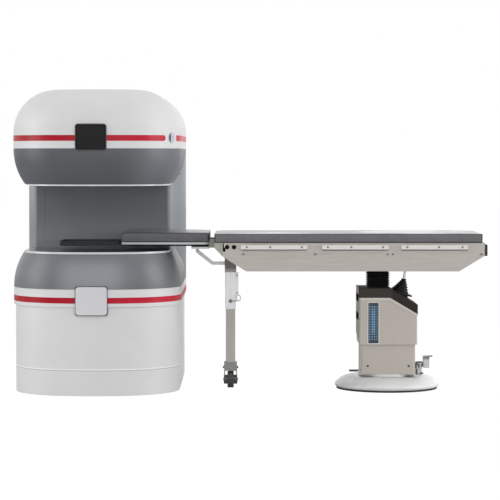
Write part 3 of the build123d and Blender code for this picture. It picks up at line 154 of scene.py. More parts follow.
class Finish(Graph):
    """A procedural material on a piece's own coordinates, in metres."""

    def __init__(self, name, **settings):
        self.material = bpy.data.materials.new(name)
        super().__init__(self.material, "Principled BSDF")
        self.place = self.node("ShaderNodeTexCoord", output="Object")
        self.relief = None
        for socket, value in settings.items():
            self.set(socket.replace("_", " ").title().replace("Ior", "IOR"), value)

    def part(self, vector, axis):
        return self.node("ShaderNodeSeparateXYZ", sockets={0: vector}, output="XYZ".index(axis))

    def along(self, axes):
        """The coordinates along the axes that a word such as "XZ" names, or one Value for one letter."""
        parts = [self.part(self.place, axis) for axis in axes]
        return parts if len(parts) > 1 else parts[0]

    def facing(self, axis):
        """How far the surface faces along an axis, from -1 to 1."""
        return self.part(self.node("ShaderNodeNewGeometry", output="Normal"), axis)

    def stretched(self, x, y, z):
        return self.node("ShaderNodeVectorMath", {"operation": "MULTIPLY"}, {0: self.place, 1: (x, y, z)})

    def noise(self, scale, detail=3, roughness=0.5, place=None):
        sockets = {"Vector": place or self.place, "Scale": scale, "Detail": detail, "Roughness": roughness}
        return self.node("ShaderNodeTexNoise", sockets=sockets)

    def pebbles(self, scale, randomness):
        sockets = {"Vector": self.place, "Scale": scale, "Randomness": randomness}
        return self.node("ShaderNodeTexVoronoi", sockets=sockets)

    def mix(self, low, high, share, blend="MIX"):
        """From the low to the high colour; 6, 7 and 2 are the Mix node's colour sockets."""
        settings = {"data_type": "RGBA", "blend_type": blend}
        return self.node("ShaderNodeMix", settings, {0: share, 6: low, 7: high}, output=2)

    def tinted(self, colour, darker, share):
        """The colour, darkened by a factor where the share is 1."""
        return self.mix(colour, shade(colour, darker), share)

    def tinted_by(self, base, darker, share):
        """A varying colour, darkened by a factor where the share is 1."""
        factor = self.mix((1, 1, 1, 1), (darker, darker, darker, 1), share)
        return self.mix(base, factor, 1, blend="MULTIPLY")

    def over(self, colour, share):
        """Lays another colour over the one that is set, where the share is 1."""
        base = Value(self, self.shader.inputs["Base Color"].links[0].from_socket)
        self.set("Base Color", self.mix(base, colour, share))

    def dress(self, colour, roughness, relief, depth):
        """Sets the colour, the roughness and the finest relief."""
        self.set("Base Color", colour)
        self.set("Roughness", roughness)
        self.emboss(relief, depth)

    def emboss(self, height, depth, strength=1):
        """Raises the surface by height times depth, over any relief that it has."""
        sockets = {"Strength": strength, "Distance": depth, "Height": height}
        if self.relief:
            sockets["Normal"] = self.relief
        self.relief = self.node("ShaderNodeBump", sockets=sockets)
        self.set("Normal", self.relief)


def moulded(name, colour, roughness=0.4, coat=0.15, veil=0.12, grain=420, depth=0.00004, dust=0.05,
            specular=0.5):
    """Painted or moulded plastic: a fine orange-peel skin, faint clouding and some dust on what faces up."""
    finish = Finish(name, coat_weight=coat, coat_roughness=veil, specular_ior_level=specular)
    cloud = finish.noise(2.3, detail=4, roughness=0.6)
    up = finish.facing("Z").rise(0.6, 1) * finish.noise(14, detail=5).rise(0.35, 0.8)
    base = finish.mix(finish.tinted(colour, 0.95, cloud.rise(0.35, 0.7)), rgb(178, 175, 170), up * dust)
    finish.dress(base, roughness + cloud * 0.06 - 0.03 + up * 0.1, finish.noise(grain, detail=2), depth)
    return finish


def brushed(name, colour, roughness=0.36, grain=(6, 900, 900), depth=0.00002, metallic=1.0):
    """Brushed metal: fine scratches along the axis that grain stretches least, with a cloudy sheen."""
    finish = Finish(name, metallic=metallic)
    scratch = finish.noise(1, detail=3, place=finish.stretched(*grain))
    broad = finish.noise(1, detail=2, place=finish.stretched(*(part / 9 for part in grain)))
    cloud = finish.noise(5, detail=4)
    base = finish.tinted(colour, 0.8, scratch.rise(0.3, 0.75))
    finish.dress(base, roughness + (scratch - 0.5) * 0.22 + (cloud - 0.5) * 0.12, scratch, depth)
    finish.over(shade(colour, 0.88), broad.rise(0.4, 0.7) * 0.6)
    return finish


def rubber(name, colour, roughness=0.55, specular=0.5):
    """Matt black rubber or coated cloth, greyer where it is rubbed and where dust lies."""
    finish = Finish(name, specular_ior_level=specular)
    wear = finish.noise(30, detail=5, roughness=0.65).rise(0.45, 0.8)
    up = finish.facing("Z").rise(0.3, 1)
    base = finish.mix(colour, rgb(72, 70, 68), wear * 0.22 + up * 0.14)
    finish.dress(base, roughness + wear * 0.15, finish.noise(700, detail=2), 0.00006)
    return finish


def vinyl(name, colour, top, low, high):
    """Coated cloth: pebbled and softly glossy, with a painted reflection on its top, painted shade at its end
    corners and darker bands along its side edges.
    """
    finish = Finish(name, coat_roughness=0.16)
    x, z = finish.along("XZ")
    # Painted shade at the rounded end corners, and darker bands along the bottom and top edges of the sides.
    painted_end_shade = x.rise(low.x + 0.011, low.x + 0.008).larger(x.rise(high.x - 0.010, high.x - 0.007))
    edge_bands = z.rise(low.z + 0.0085, low.z + 0.0060).larger(z.rise(high.z - 0.0090, high.z - 0.0065) * 0.6)
    crease = finish.noise(18, detail=6, roughness=0.65)
    sheen = finish.noise(1.7, detail=2).rise(0.44, 0.58)
    up = finish.facing("Z").rise(0.55, 0.95)
    # Painted reflection: the top is mixed towards the lighter top colour.
    base = finish.mix(finish.tinted(colour, 0.82, crease.rise(0.35, 0.75)), top, up * 0.75)
    base = finish.tinted_by(base, 0.42, painted_end_shade.larger(edge_bands) * (1 - up))
    roughness = 0.46 + crease * 0.12 - up * (0.14 + sheen * 0.14)
    finish.dress(base, roughness, finish.pebbles(620, 0.9), 0.00012)
    finish.set("Coat Weight", 0.15 + up * (0.30 + sheen * 0.4))
    finish.emboss(crease, 0.0012, 0.16)
    return finish


cover_paint = {"colour": rgb(218, 218, 219), "roughness": 0.55, "coat": 0.4, "veil": 0.45}
beige_paint = {"colour": rgb(186, 179, 170), "grain": 520, "coat": 0.1}
sheet_paint = {"grain": (9, 500, 500), "depth": 0.00001}

white_cover = moulded("white_cover", **cover_paint)
grey_flank = moulded("grey_flank", rgb(124, 128, 131), roughness=0.43, coat=0.2, dust=0.12)
bezel_skin = moulded("bezel_skin", rgb(30, 30, 32), coat=0)
pale_plate = moulded("pale_plate", rgb(214, 214, 217), roughness=0.36, coat=0.2)
port_lilac = moulded("port_lilac", rgb(200, 194, 206), roughness=0.3, coat=0.3)
panel_cap = moulded("panel_cap", rgb(126, 128, 130), roughness=0.35)
coil_resin = moulded("coil_resin", rgb(168, 150, 104), roughness=0.35)
base_gelcoat = moulded("base_gelcoat", rgb(222, 222, 222), roughness=0.3, coat=0.4, dust=0.12)
pedestal_beige = moulded("pedestal_beige", **beige_paint)
window_edge = moulded("window_edge", rgb(222, 224, 226), roughness=0.32, coat=0.3)
tray_shell = moulded("tray_shell", rgb(36, 38, 41), roughness=0.5, coat=0, dust=0.06, specular=0.3)
cap_dark = moulded("cap_dark", rgb(60, 60, 60), roughness=0.45, grain=700, depth=0.00008, dust=0.15)

iron_grey = brushed("iron_grey", rgb(120, 120, 122), 0.5, grain=(300, 300, 300))
frame_steel = brushed("frame_steel", rgb(90, 96, 104), 0.55, metallic=0.4)
steel_beige = brushed("steel_beige", rgb(184, 178, 172), 0.46, metallic=0.45, **sheet_paint)
rail_bright = brushed("rail_bright", rgb(214, 212, 209), 0.3, grain=(5, 1200, 1200), metallic=0.8)
bracket_grey = brushed("bracket_grey", rgb(168, 166, 162), 0.4, grain=(400, 400, 8))
bracket_paint = brushed("bracket_paint", rgb(168, 165, 158), 0.5, metallic=0.3, **sheet_paint)
brace_alloy = brushed("brace_alloy", rgb(218, 217, 216), 0.42, grain=(8, 700, 700), metallic=0.5)
plate_alloy = brushed("plate_alloy", rgb(196, 198, 198), 0.45, grain=(8, 600, 600), metallic=0.3)
sleeve_alloy = brushed("sleeve_alloy", rgb(218, 218, 219), 0.38, grain=(700, 700, 6))
tube_beige = brushed("tube_beige", rgb(184, 179, 172), 0.48, grain=(420, 420, 5), metallic=0.2)
shaft_chrome = brushed("shaft_chrome", rgb(224, 224, 226), 0.16, grain=(900, 900, 40))
screw_dark = brushed("screw_dark", rgb(128, 126, 124), 0.34, grain=(600, 600, 600))
steel_bright = brushed("steel_bright", rgb(206, 204, 200), 0.28, grain=(600, 600, 600))
hook_steel = brushed("hook_steel", rgb(70, 71, 66), 0.5, grain=(500, 500, 500), metallic=0.3)

black_rubber = rubber("black_rubber", rgb(20, 20, 21))
seam_dark = rubber("seam_dark", rgb(50, 50, 53), 0.5)
plug_black = rubber("plug_black", rgb(4, 4, 4), 0.6, specular=0.1)
# Near-black without gloss: painted shadow in the laser port and the frame's slot.
painted_shadow_black = rubber("painted_shadow_black", rgb(2, 2, 2), 0.8, specular=0)
seal_black = rubber("seal_black", rgb(26, 26, 28), 0.6)
bumper_rubber = rubber("bumper_rubber", rgb(58, 58, 61), 0.6, specular=0.2)
# Painted shadow under the rails.
shadow_strip_grey = rubber("shadow_strip_grey", rgb(50, 48, 46), 0.6)

# Each pad's third colour is its top, painted lighter as a reflection.
grey_vinyl = vinyl("grey_vinyl", rgb(98, 98, 101), rgb(124, 124, 128), mattress_low, mattress_high)
pad_vinyl = vinyl("pad_vinyl", rgb(84, 85, 88), rgb(104, 105, 109), board_low, board_high)


def distance(across, up):
    return (across * across + up * up) ** 0.5


def seamed_white():
    """Cover paint at the level joint: the pale glint of its rounded edge over its shadow."""
    finish = moulded("seam_white", **cover_paint)
    z, joint = finish.along("Z"), 0.156
    finish.over(rgb(250, 250, 250), z.near(joint + 0.0040, 0.0026, 0.002) * 0.9)
    finish.over(rgb(150, 150, 152), z.near(joint - 0.0016, 0.0016, 0.001) * 0.7)
    return finish


def upper_shroud_grey():
    """The upper shroud's paint, with a painted reflection making it a shade paler towards its right end."""
    finish = moulded("upper_grey", rgb(79, 82, 87), roughness=0.46, coat=0.2, veil=0.4, dust=0.12)
    finish.over(rgb(102, 105, 110), finish.along("X").rise(0.12, 0.40))
    return finish


def lower_shroud_grey():
    """The lower shroud's paint, with a painted reflection making it a shade paler low on its nose."""
    finish = moulded("lower_grey", rgb(100, 104, 108), roughness=0.42, coat=0.3, veil=0.4, dust=0.12)
    x, z = finish.along("XZ")
    finish.over(rgb(128, 132, 137), abs(x + 0.02).rise(0.26, 0.10) * z.rise(0.87, 0.76))
    return finish


def gap_panel_grey():
    """The gap panel's paint, painted a shade paler at its foot as bounced light, with one upright joint line.
    """
    finish = moulded("grey_panel", rgb(98, 102, 106), roughness=0.42, grain=260, depth=0.00008)
    x, z = finish.along("XZ")
    joint, half_width = -0.365, 0.0012
    line = x.near(joint, half_width, half_width)
    finish.over(rgb(44, 46, 48), line * 0.55)
    # Painted light: paler at the foot, as light bounced up from the deck.
    finish.over(rgb(122, 126, 131), z.rise(1.13, 0.90))
    finish.emboss(1 - line, half_width)
    return finish


def collar_paint():
    """The pedestal collar's dark paint, a little paler on its left."""
    settings = {"roughness": 0.6, "coat": 0, "grain": 380, "depth": 0.0001, "specular": 0.2}
    finish = moulded("collar_brown", rgb(42, 38, 33), **settings)
    finish.over(rgb(58, 54, 49), finish.along("X").rise(1.835, 1.815))
    return finish


def beige_with_trim():
    """The upper pedestal cover's paint, paler on the trim strip that stands proud under the collar."""
    finish = moulded("trimmed_beige", **beige_paint)
    x, y = finish.along("XY")
    cover_side, cover_end, edge = 0.1770, 1.9856, 0.0006
    trim = abs(y).rise(cover_side, cover_side + edge).larger(x.rise(cover_end, cover_end + edge))
    finish.over(rgb(208, 203, 196), trim)
    return finish


def board_two_tone():
    """The board's frame: pale moulded rails, and darker cast knuckles at the table's end."""
    finish = moulded("board_two_tone", rgb(188, 190, 192), roughness=0.36)
    knuckles = 0.6952
    finish.over(rgb(146, 147, 136), finish.along("X").rise(knuckles, knuckles + 0.0006))
    return finish


def port_cup():
    """The laser port: a pale lilac ring, with painted shadow black inside its cup on the side away from the
    lens.
    """
    finish = moulded("port_cup", rgb(206, 200, 214), roughness=0.3, coat=0.3)
    x, y, z = finish.along("XYZ")
    across = (x - port_x) * cos(port_turn) + (y - port_y) * sin(port_turn)
    cup_radius = 0.0300
    inside = distance(across, z - port_z).rise(cup_radius + 0.0012, cup_radius)
    # Painted shadow on the cup's inner wall, away from the lens.
    finish.over(rgb(4, 4, 5), inside * across.rise(0.002, -0.004))
    return finish


def stripe_film():
    """Red self-adhesive film, a touch lighter to the right and faintly mottled."""
    finish = Finish("stripe_film", specular_ior_level=0.22, coat_weight=0.03)
    base = finish.mix(rgb(168, 12, 34), rgb(194, 28, 52), finish.along("X").rise(-0.2, 0.45))
    base = finish.mix(base, rgb(124, 10, 26), finish.noise(40, detail=4).rise(0.55, 0.9) * 0.4)
    finish.dress(base, 0.3 + finish.noise(9) * 0.08, finish.noise(900, detail=1), 0.00002)
    return finish


def rimmed(name, field_colour, rim_colour, facing_low, facing_high, roughness):
    """A flat dark field, up or down, inside a pale rounded rim; on the deck the dark field is a painted
    reflection.
    """
    finish = Finish(name, coat_weight=0.4, coat_roughness=0.12)
    field = finish.facing("Z").rise(facing_low, facing_high)
    cloud = finish.noise(5, detail=5)
    scratch = finish.noise(1, place=finish.stretched(40, 420, 40)).rise(0.62, 0.8)
    base = finish.tinted_by(finish.mix(rim_colour, field_colour, field), 0.9, cloud.rise(0.4, 0.75))
    finish.dress(base, roughness + cloud * 0.08 + scratch * 0.06, finish.noise(420, detail=2), 0.00003)
    return finish


def stepped(name, low_colour, high_colour, low, high, roughness=0.42):
    """Painted metal that changes from one colour to the other between two heights; on the leg head the change
    is painted shade.
    """
    finish = Finish(name)
    cloud = finish.noise(30, detail=5)
    base = finish.mix(low_colour, high_colour, finish.along("Z").rise(low, high))
    base = finish.tinted_by(base, 0.86, cloud.rise(0.4, 0.75))
    finish.dress(base, roughness + cloud * 0.1, finish.noise(500, detail=2), 0.00004)
    return finish


def lever():
    """Clamp lever: a dark grip round its hub and a worn bright arm and loop."""
    finish = Finish("lever_tones", metallic=0.3)
    x, z = finish.along("XZ")
    reach = distance(x - leg_x, z - clamp_z)
    wear = finish.noise(140, detail=5)
    hub, loop = 0.0075, 0.036
    base = finish.mix(rgb(112, 110, 108), rgb(168, 166, 162), reach.rise(hub, hub + 0.004))
    base = finish.mix(base, rgb(206, 204, 200), reach.rise(loop, loop + 0.006))
    base = finish.tinted_by(base, 0.8, wear.rise(0.45, 0.75))
    finish.dress(base, 0.34 + wear * 0.14, finish.noise(700), 0.00003)
    return finish


def display_black():
    """Anti-glare glass over a switched-off panel: a slightly greyer field inside a printed border."""
    finish = Finish("display_black", specular_ior_level=0.12)
    x, z = finish.along("XZ")
    middle_x, middle_z, half_width, half_height, edge = -0.0115, 1.568, 0.078, 0.063, 0.0006
    field = x.near(middle_x, half_width, edge) * z.near(middle_z, half_height, edge)
    smear = finish.noise(26, detail=6, roughness=0.7).rise(0.5, 0.8)
    base = finish.mix(rgb(10, 10, 11), rgb(20, 20, 22), field)
    finish.dress(base, 0.22 + smear * 0.1, finish.noise(900, detail=1), 0.000006)
    return finish


def clear_lens():
    """The laser's lens: glossy and milky, lilac above and a greenish grey below."""
    finish = Finish("clear_lens", ior=1.45, coat_weight=0.6)
    cloud = finish.noise(40)
    lilac = (finish.along("Z") + cloud * 0.006).rise(port_z - 0.005, port_z + 0.017)
    finish.set("Base Color", finish.mix(rgb(198, 204, 200), rgb(168, 158, 180), lilac))
    finish.set("Roughness", 0.12 + cloud * 0.06)
    return finish


def lattice_blue():
    """Blue perforated insert: pockets painted dark as shade, and bars that pale at their crossings and, as
    painted light, down the middle.
    """
    finish = Finish("lattice_blue")
    x, y, z = finish.along("XYZ")
    middle_x, middle_z, pitch = 1.712, 0.419, 0.0155
    across = ((x - middle_x) * (pi / pitch)).sine()
    up = ((z - middle_z) * (pi / pitch)).sine()
    crossing = (across * across * up * up).rise(0.35, 0.9)
    # Painted shade in the pockets, lighter where the middle is painted light.
    pocket = y.rise(-0.1763, -0.1756)
    side = abs(x - middle_x)
    border = side.rise(0.0245, 0.0265).larger(abs(z - middle_z).rise(0.106, 0.1185))
    # Painted light down the middle of the insert.
    painted_light_middle = side.rise(0.016, 0.004) * z.near(0.43, 0.05, 0.06)
    bars = finish.mix(rgb(44, 72, 92), rgb(96, 142, 176), painted_light_middle * 0.75 + finish.noise(60, detail=4) * 0.25)
    base = finish.mix(bars, rgb(150, 182, 200), crossing * 0.9)
    base = finish.mix(base, rgb(10, 30, 46), pocket * (0.95 - painted_light_middle * 0.45))
    base = finish.mix(base, rgb(30, 36, 38), border * 0.92)
    finish.dress(base, 0.35 + finish.noise(50) * 0.1, finish.noise(500), 0.00004)
    return finish


def wheel_two_tone():
    """Castor wheel: a grey moulded hub inside a dark tyre that is scuffed on its tread."""
    finish = Finish("wheel_two_tone")
    y, z = finish.along("YZ")
    radius = distance(y, z - wheel_z)
    hub, tread = 0.0385, 0.046
    tyre = radius.rise(hub, hub + 0.001)
    scuff = finish.noise(90, detail=5).rise(0.4, 0.75) * radius.rise(tread, tread + 0.0055)
    base = finish.mix(rgb(118, 118, 116), rgb(52, 52, 53), tyre)
    base = finish.mix(base, rgb(96, 94, 90), scuff * 0.6)
    finish.dress(base, 0.4 + tyre * 0.2, finish.noise(400), 0.00008)
    return finish


# The deck's dark field is a painted reflection of the dark parts above it.
deck_painted_reflection = rimmed("deck_painted_reflection", rgb(58, 60, 62), rgb(220, 220, 223), 0.93, 0.985, roughness=0.2)
dark_pole = rimmed("dark_pole", rgb(78, 80, 84), rgb(226, 226, 228), -0.93, -0.985, roughness=0.28)
# The leg head's darker top is painted shade from the table above it.
head_painted_shade = stepped("head_grey", rgb(166, 165, 166), rgb(122, 118, 116), 0.738, 0.758)
fork_tones = stepped("fork_tones", rgb(104, 105, 101), rgb(142, 145, 138), 0.076, 0.086)
pedal_tones = stepped("pedal_tones", rgb(204, 206, 208), rgb(112, 114, 114), 0.180, 0.204, roughness=0.34)

finish_of_node = {
    white_cover: "lower_band upper_cover",
    seamed_white(): "plinth_cover lower_skirt",
    pale_plate: "service_plate",
    lower_shroud_grey(): "lower_shroud",
    upper_shroud_grey(): "upper_shroud",
    grey_flank: "column_covers",
    deck_painted_reflection: "lower_deck",
    dark_pole: "upper_pole_cover",
    gap_panel_grey(): "gap_back_panel",
    stripe_film(): "stripes",
    bezel_skin: "display_bezel",
    display_black(): "display_glass",
    port_cup(): "laser_bezel",
    clear_lens(): "laser_lens",
    iron_grey: "yoke_base_plate yoke_column yoke_top_plate magnet_stacks pole_shoes swivel_bearing",
    frame_steel: "support_frame base_plate",
    coil_resin: "gradient_coils",
    base_gelcoat: "base_cover turntable",
    black_rubber: "base_skirt lift_bellows actuator_boot foot_bar end_bumper",
    pedestal_beige: "pedestal_lower_cover",
    beige_with_trim(): "pedestal_upper_cover",
    collar_paint(): "pedestal_collar",
    bracket_grey: "guide_column lift_column tilt_bracket actuator_tube",
    bracket_paint: "end_bracket side_post",
    shaft_chrome: "tilt_rod",
    plug_black: "side_sockets",
    window_edge: "window_frame",
    lattice_blue(): "window_lattice",
    steel_beige: "table_frame",
    rail_bright: "side_rails",
    grey_vinyl: "mattress",
    pad_vinyl: "board_pad",
    board_two_tone(): "board_frame",
    tray_shell: "board_tray",
    head_painted_shade: "leg_head",
    brace_alloy: "leg_brace",
    sleeve_alloy: "leg_sleeve",
    tube_beige: "leg_tube",
    lever(): "clamp_lever",
    fork_tones: "castor_fork",
    wheel_two_tone(): "castor_wheel",
    pedal_tones: "brake_pedal",
    plate_alloy: "pedal_bracket",
}
for finish, names in finish_of_node.items():
    for name in names.split():
        nodes[name].data.materials.clear()
        nodes[name].data.materials.append(finish.material)
bare = set(nodes) - set(" ".join(finish_of_node.values()).split())
assert not bare, bare


# Modelling. Each primitive is added alone, shaped in edit mode and finished with modifiers.


def only(piece=None):
    """Deselects everything, and then selects a piece and makes it the active one."""
    bpy.ops.object.select_all(action="DESELECT")
    if piece:
        piece.select_set(True)
        bpy.context.view_layer.objects.active = piece


def settled(name):
    """Names the active piece and puts its place, turn and size into its mesh."""
    piece = bpy.context.object
    piece.name = name
    piece.data.name = name
    bpy.ops.object.transform_apply(location=True, rotation=True, scale=True)
    return piece


def block(name, low, high):
    middle = [(a + b) / 2 for a, b in zip(low, high)]
    size = [b - a for a, b in zip(low, high)]
    only()
    bpy.ops.mesh.primitive_cube_add(size=1, location=middle, scale=size)
    return settled(name)


def drum(name, at, radius, length, axis, sides):
    turn = {"X": (0, pi / 2, 0), "Y": (pi / 2, 0, 0), "Z": (0, 0, 0)}[axis]
    size = {"vertices": sides, "radius": radius, "depth": length}
    only()
    bpy.ops.mesh.primitive_cylinder_add(location=at, rotation=turn, **size)
    return settled(name)


def editing(mode):
    """Starts or goes on with edit mode, with nothing selected."""
    bpy.ops.object.mode_set(mode="EDIT")
    bpy.ops.mesh.select_mode(type=mode)
    bpy.ops.mesh.select_all(action="DESELECT")


def done():
    bpy.ops.object.mode_set(mode="OBJECT")


def pick_all():
    bpy.ops.mesh.select_all(action="SELECT")


def pick_faces(test):
    """Adds the faces to the selection whose centre and normal pass the test."""
    mesh = bmesh.from_edit_mesh(bpy.context.object.data)
    for face in mesh.faces:
        if test(face.calc_center_median(), face.normal):
            face.select_set(True)
    mesh.select_flush_mode()
    bmesh.update_edit_mesh(bpy.context.object.data)


def pick_edges(test):
    """Adds the edges to the selection whose middle and direction pass the test."""
    mesh = bmesh.from_edit_mesh(bpy.context.object.data)
    for edge in mesh.edges:
        start, end = (corner.co for corner in edge.verts)
        if test((start + end) / 2, (end - start).normalized()):
            edge.select_set(True)
    mesh.select_flush_mode()
    bmesh.update_edit_mesh(bpy.context.object.data)


def push(x, y, z):
    bpy.ops.mesh.extrude_region_move(TRANSFORM_OT_translate={"value": (x, y, z)})


def scaled(across, upwards, at):
    """Scales what is selected about a place."""
    bpy.ops.transform.resize(value=(across, across, upwards), center_override=at)


def rounded_outline(name, middle, width, depth, corner, segments):
    """A level rounded rectangle of bare edges, left open in edit mode."""
    only()
    bpy.ops.mesh.primitive_plane_add(size=1, location=middle)
    bpy.context.object.scale = (width, depth, 1)
    settled(name)
    editing("VERT")
    pick_all()
    bpy.ops.mesh.bevel(offset=corner, segments=segments, affect="VERTICES")
    bpy.ops.mesh.delete(type="ONLY_FACE")


def modified(piece, kind, **settings):
    bpy.context.view_layer.objects.active = piece
    modifier = piece.modifiers.new(kind.lower(), kind)
    for name, value in settings.items():
        setattr(modifier, name, value)
    bpy.ops.object.modifier_apply(modifier=modifier.name)
    return piece


def eased(piece, width, segments=2, angle=35):
    """Rounds the edges that are sharper than the angle."""
    settings = {"limit_method": "ANGLE", "angle_limit": radians(angle)}
    return modified(piece, "BEVEL", width=width, segments=segments, **settings)


def walled(piece):
    """Gives the skin of a bellows or boot its thickness, inwards."""
    return modified(piece, "SOLIDIFY", thickness=0.0016, offset=-1)


def placed(piece, name, x, y, z, turn):
    """A copy of a piece with its own mesh, turned about the vertical through the origin and moved."""
    only(piece)
    bpy.ops.object.duplicate(linked=False)
    twin = bpy.context.object
    twin.rotation_euler.z = turn
    twin.location = (x, y, z)
    return settled(name)


def joined(name, pieces):
    only(pieces[0])
    for piece in pieces:
        piece.select_set(True)
    bpy.ops.object.join()
    whole = bpy.context.object
    whole.name = name
    whole.data.name = name
    return whole


def fitted(piece, finish, body, slot, *replaced, smooth=20):
    """Gives a piece its material and shading, the body it rides on and the CAD nodes it stands for; slot is
    not used.
    """
    piece.data.materials.clear()
    piece.data.materials.append(finish.material)
    only(piece)
    bpy.ops.object.shade_smooth_by_angle(angle=radians(smooth))
    if replaced:
        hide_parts(*replaced)
    if body:
        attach(piece, body)
    return piece


def discard(piece):
    bpy.data.objects.remove(piece, do_unlink=True)


def copies(name, pattern, places, finish, body, slot):
    """Copies of one pattern at (x, y, z, turn about the vertical), joined into one piece."""
    return fitted(joined(name, [placed(pattern, name, *place) for place in places]), finish, body, slot)


def both_sides(all_x, y, z):
    """Places at each x on the front and the back, each facing outwards."""
    return [(x, side * y, z, 0 if side < 0 else pi) for x in all_x for side in (-1, 1)]


# Soft goods.


def swollen(piece, seam_height, cap, pressure=4):
    """Blows the piece up as cloth round its held seams, and moves no point further than cap."""
    low, high = (Vector(corner) for corner in (piece.bound_box[0], piece.bound_box[6]))
    held = piece.vertex_groups.new(name="held")
    before = []
    for point in piece.data.vertices:
        place = point.co.copy()
        before.append(place)
        rim = min(place.x - low.x, high.x - place.x, place.y - low.y, high.y - place.y)
        level = min(place.z - low.z, high.z - place.z)
        if rim < seam_height and level < seam_height or place.z - low.z < 0.001:
            held.add([point.index], 1, "REPLACE")
    last_frame = 20
    cloth = piece.modifiers.new("cloth", "CLOTH")
    cloth.settings.quality = 5
    cloth.settings.use_pressure = True
    cloth.settings.uniform_pressure_force = pressure
    cloth.settings.effector_weights.gravity = 0
    cloth.settings.vertex_group_mass = "held"
    cloth.point_cache.frame_start = 1
    cloth.point_cache.frame_end = last_frame
    for moment in range(1, last_frame + 1):
        bpy.context.scene.frame_set(moment)
    bpy.ops.object.modifier_apply(modifier="cloth")
    for point, place in zip(piece.data.vertices, before):
        moved = point.co - place
        if moved.length > cap:
            point.co = place + moved * (cap / moved.length)
    bpy.context.scene.frame_set(1)


def pad(name, low, high, corner, edge, cell, cap):
    """A foam pad in its coated cover: a block with rounded corners, cut into cells and blown up as cloth."""
    piece = block(name, low, high)
    editing("EDGE")
    pick_edges(lambda middle, along: abs(along.z) > 0.9)
    bpy.ops.mesh.bevel(offset=corner, segments=4, affect="EDGES")
    done()
    eased(piece, edge, segments=3, angle=60)
    editing("FACE")
    for axis in range(3):
        count = max(2, round((high[axis] - low[axis]) / cell))
        for step in range(1, count):
            cut = [0, 0, 0]
            cut[axis] = low[axis] + (high[axis] - low[axis]) * step / count
            normal = [0, 0, 0]
            normal[axis] = 1
            pick_all()
            bpy.ops.mesh.bisect(plane_co=cut, plane_no=normal)
    done()
    swollen(piece, edge * 1.5, cap)
    return modified(piece, "SUBSURF", levels=1, render_levels=1)


def welt(name, low, high, z):
    """A thin welded seam bead round a pad at one height, let into the pad's walls."""
    sunk_x, sunk_y, thickness = 0.0007, 0.0022, 0.0022
    middle = ((low.x + high.x) / 2, (low.y + high.y) / 2, z)
    width, depth = high.x - low.x - 2 * sunk_x, high.y - low.y - 2 * sunk_y
    rounded_outline(name, middle, width, depth, corner=0.009, segments=4)
    done()
    bpy.ops.object.convert(target="CURVE")
    bead = bpy.context.object
    bead.data.bevel_depth = thickness / 2
    bead.data.bevel_resolution = 2
    bpy.ops.object.convert(target="MESH")
    return bpy.context.object


end_play, side_play, top_play, bumper_overlap = 0.0005, 0.002, 0.001, 0.0020

mattress = pad(
    "mattress", (mattress_low.x + end_play, mattress_low.y + side_play, mattress_low.z),
    (mattress_high.x + bumper_overlap, mattress_high.y - side_play, mattress_high.z - top_play),
    corner=0.007, edge=0.0020, cell=0.02, cap=0.0045,
)
fitted(mattress, grey_vinyl, "top", "mattress_vinyl", "mattress", smooth=60)

board_pad = pad(
    "board_pad", (board_low.x + end_play, board_low.y + side_play, board_low.z),
    (board_high.x - end_play, board_high.y - side_play, board_high.z - top_play),
    corner=0.012, edge=0.0026, cell=0.015, cap=0.0055,
)
fitted(board_pad, pad_vinyl, "top", "mattress_vinyl", "board_pad", smooth=60)

for word, low, high in (
    ("mattress", mattress_low, mattress_high + Vector((0.0025, 0, 0))),
    ("board_pad", board_low, board_high),
):
    for level, z in (("lower", low.z + 0.0032), ("upper", high.z - 0.0044)):
        fitted(welt(f"{word}_{level}_seam", low, high, z), seam_dark, "top", "mattress_vinyl", smooth=60)


# Bellows round the lift column: a rounded square pushed up fold by fold.


def bellows(name, x, bottom, top, folds, half_width, corner, inset):
    """Walls that go in and out by the inset, from the bottom to the top."""
    rounded_outline(name, (x, 0, bottom), 2 * half_width, 2 * half_width, corner, segments=5)
    pick_all()
    narrow = (half_width - inset) / half_width
    rise = (top - bottom) / folds
    for fold in range(folds):
        push(0, 0, rise)
        scaled(1 / narrow if fold % 2 else narrow, 1, (x, 0, bottom + rise * (fold + 1)))
    done()
    return eased(walled(bpy.context.object), 0.0006, angle=30)


lift_low, lift_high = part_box("lift_bellows")
lift_x = (lift_low.x + lift_high.x) / 2
lift_folds = {"folds": 14, "half_width": 0.0735, "corner": 0.010, "inset": 0.0140}
lift_bellows = bellows("lift_bellows_skin", lift_x, lift_low.z, lift_high.z, **lift_folds)
fitted(lift_bellows, black_rubber, None, "rubber_black", "lift_bellows")
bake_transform(lift_bellows)


# Boot round the tilt actuator: rings pushed from the sloping foot to the neck, turned upright bit by bit.


def boot(name, foot, foot_radius, neck, neck_radius, slope, lean, ridges):
    """Each ridge is four rings: the rises share out its height, and the waists draw two of them in."""
    only()
    bpy.ops.mesh.primitive_circle_add(vertices=40, radius=foot_radius, location=foot, rotation=(0, slope, 0))
    settled(name)
    editing("VERT")
    pick_all()
    rises = (0.30, 0.18, 0.30, 0.22)
    waists = (0.0095, 0.0085, 0, 0)
    place, radius, share = Vector(foot), foot_radius, 0
    for rise, waist in list(zip(rises, waists)) * ridges:
        share += rise / ridges
        to = Vector(foot).lerp(Vector(neck), share)
        to_radius = foot_radius + (neck_radius - foot_radius) * share - waist * (1 - 0.45 * share)
        push(*(to - place))
        scaled(to_radius / radius, to_radius / radius, to)
        bpy.ops.transform.rotate(value=(slope - lean) * rise / ridges, orient_axis="Y", center_override=to)
        place, radius = to, to_radius
    done()
    return walled(bpy.context.object)


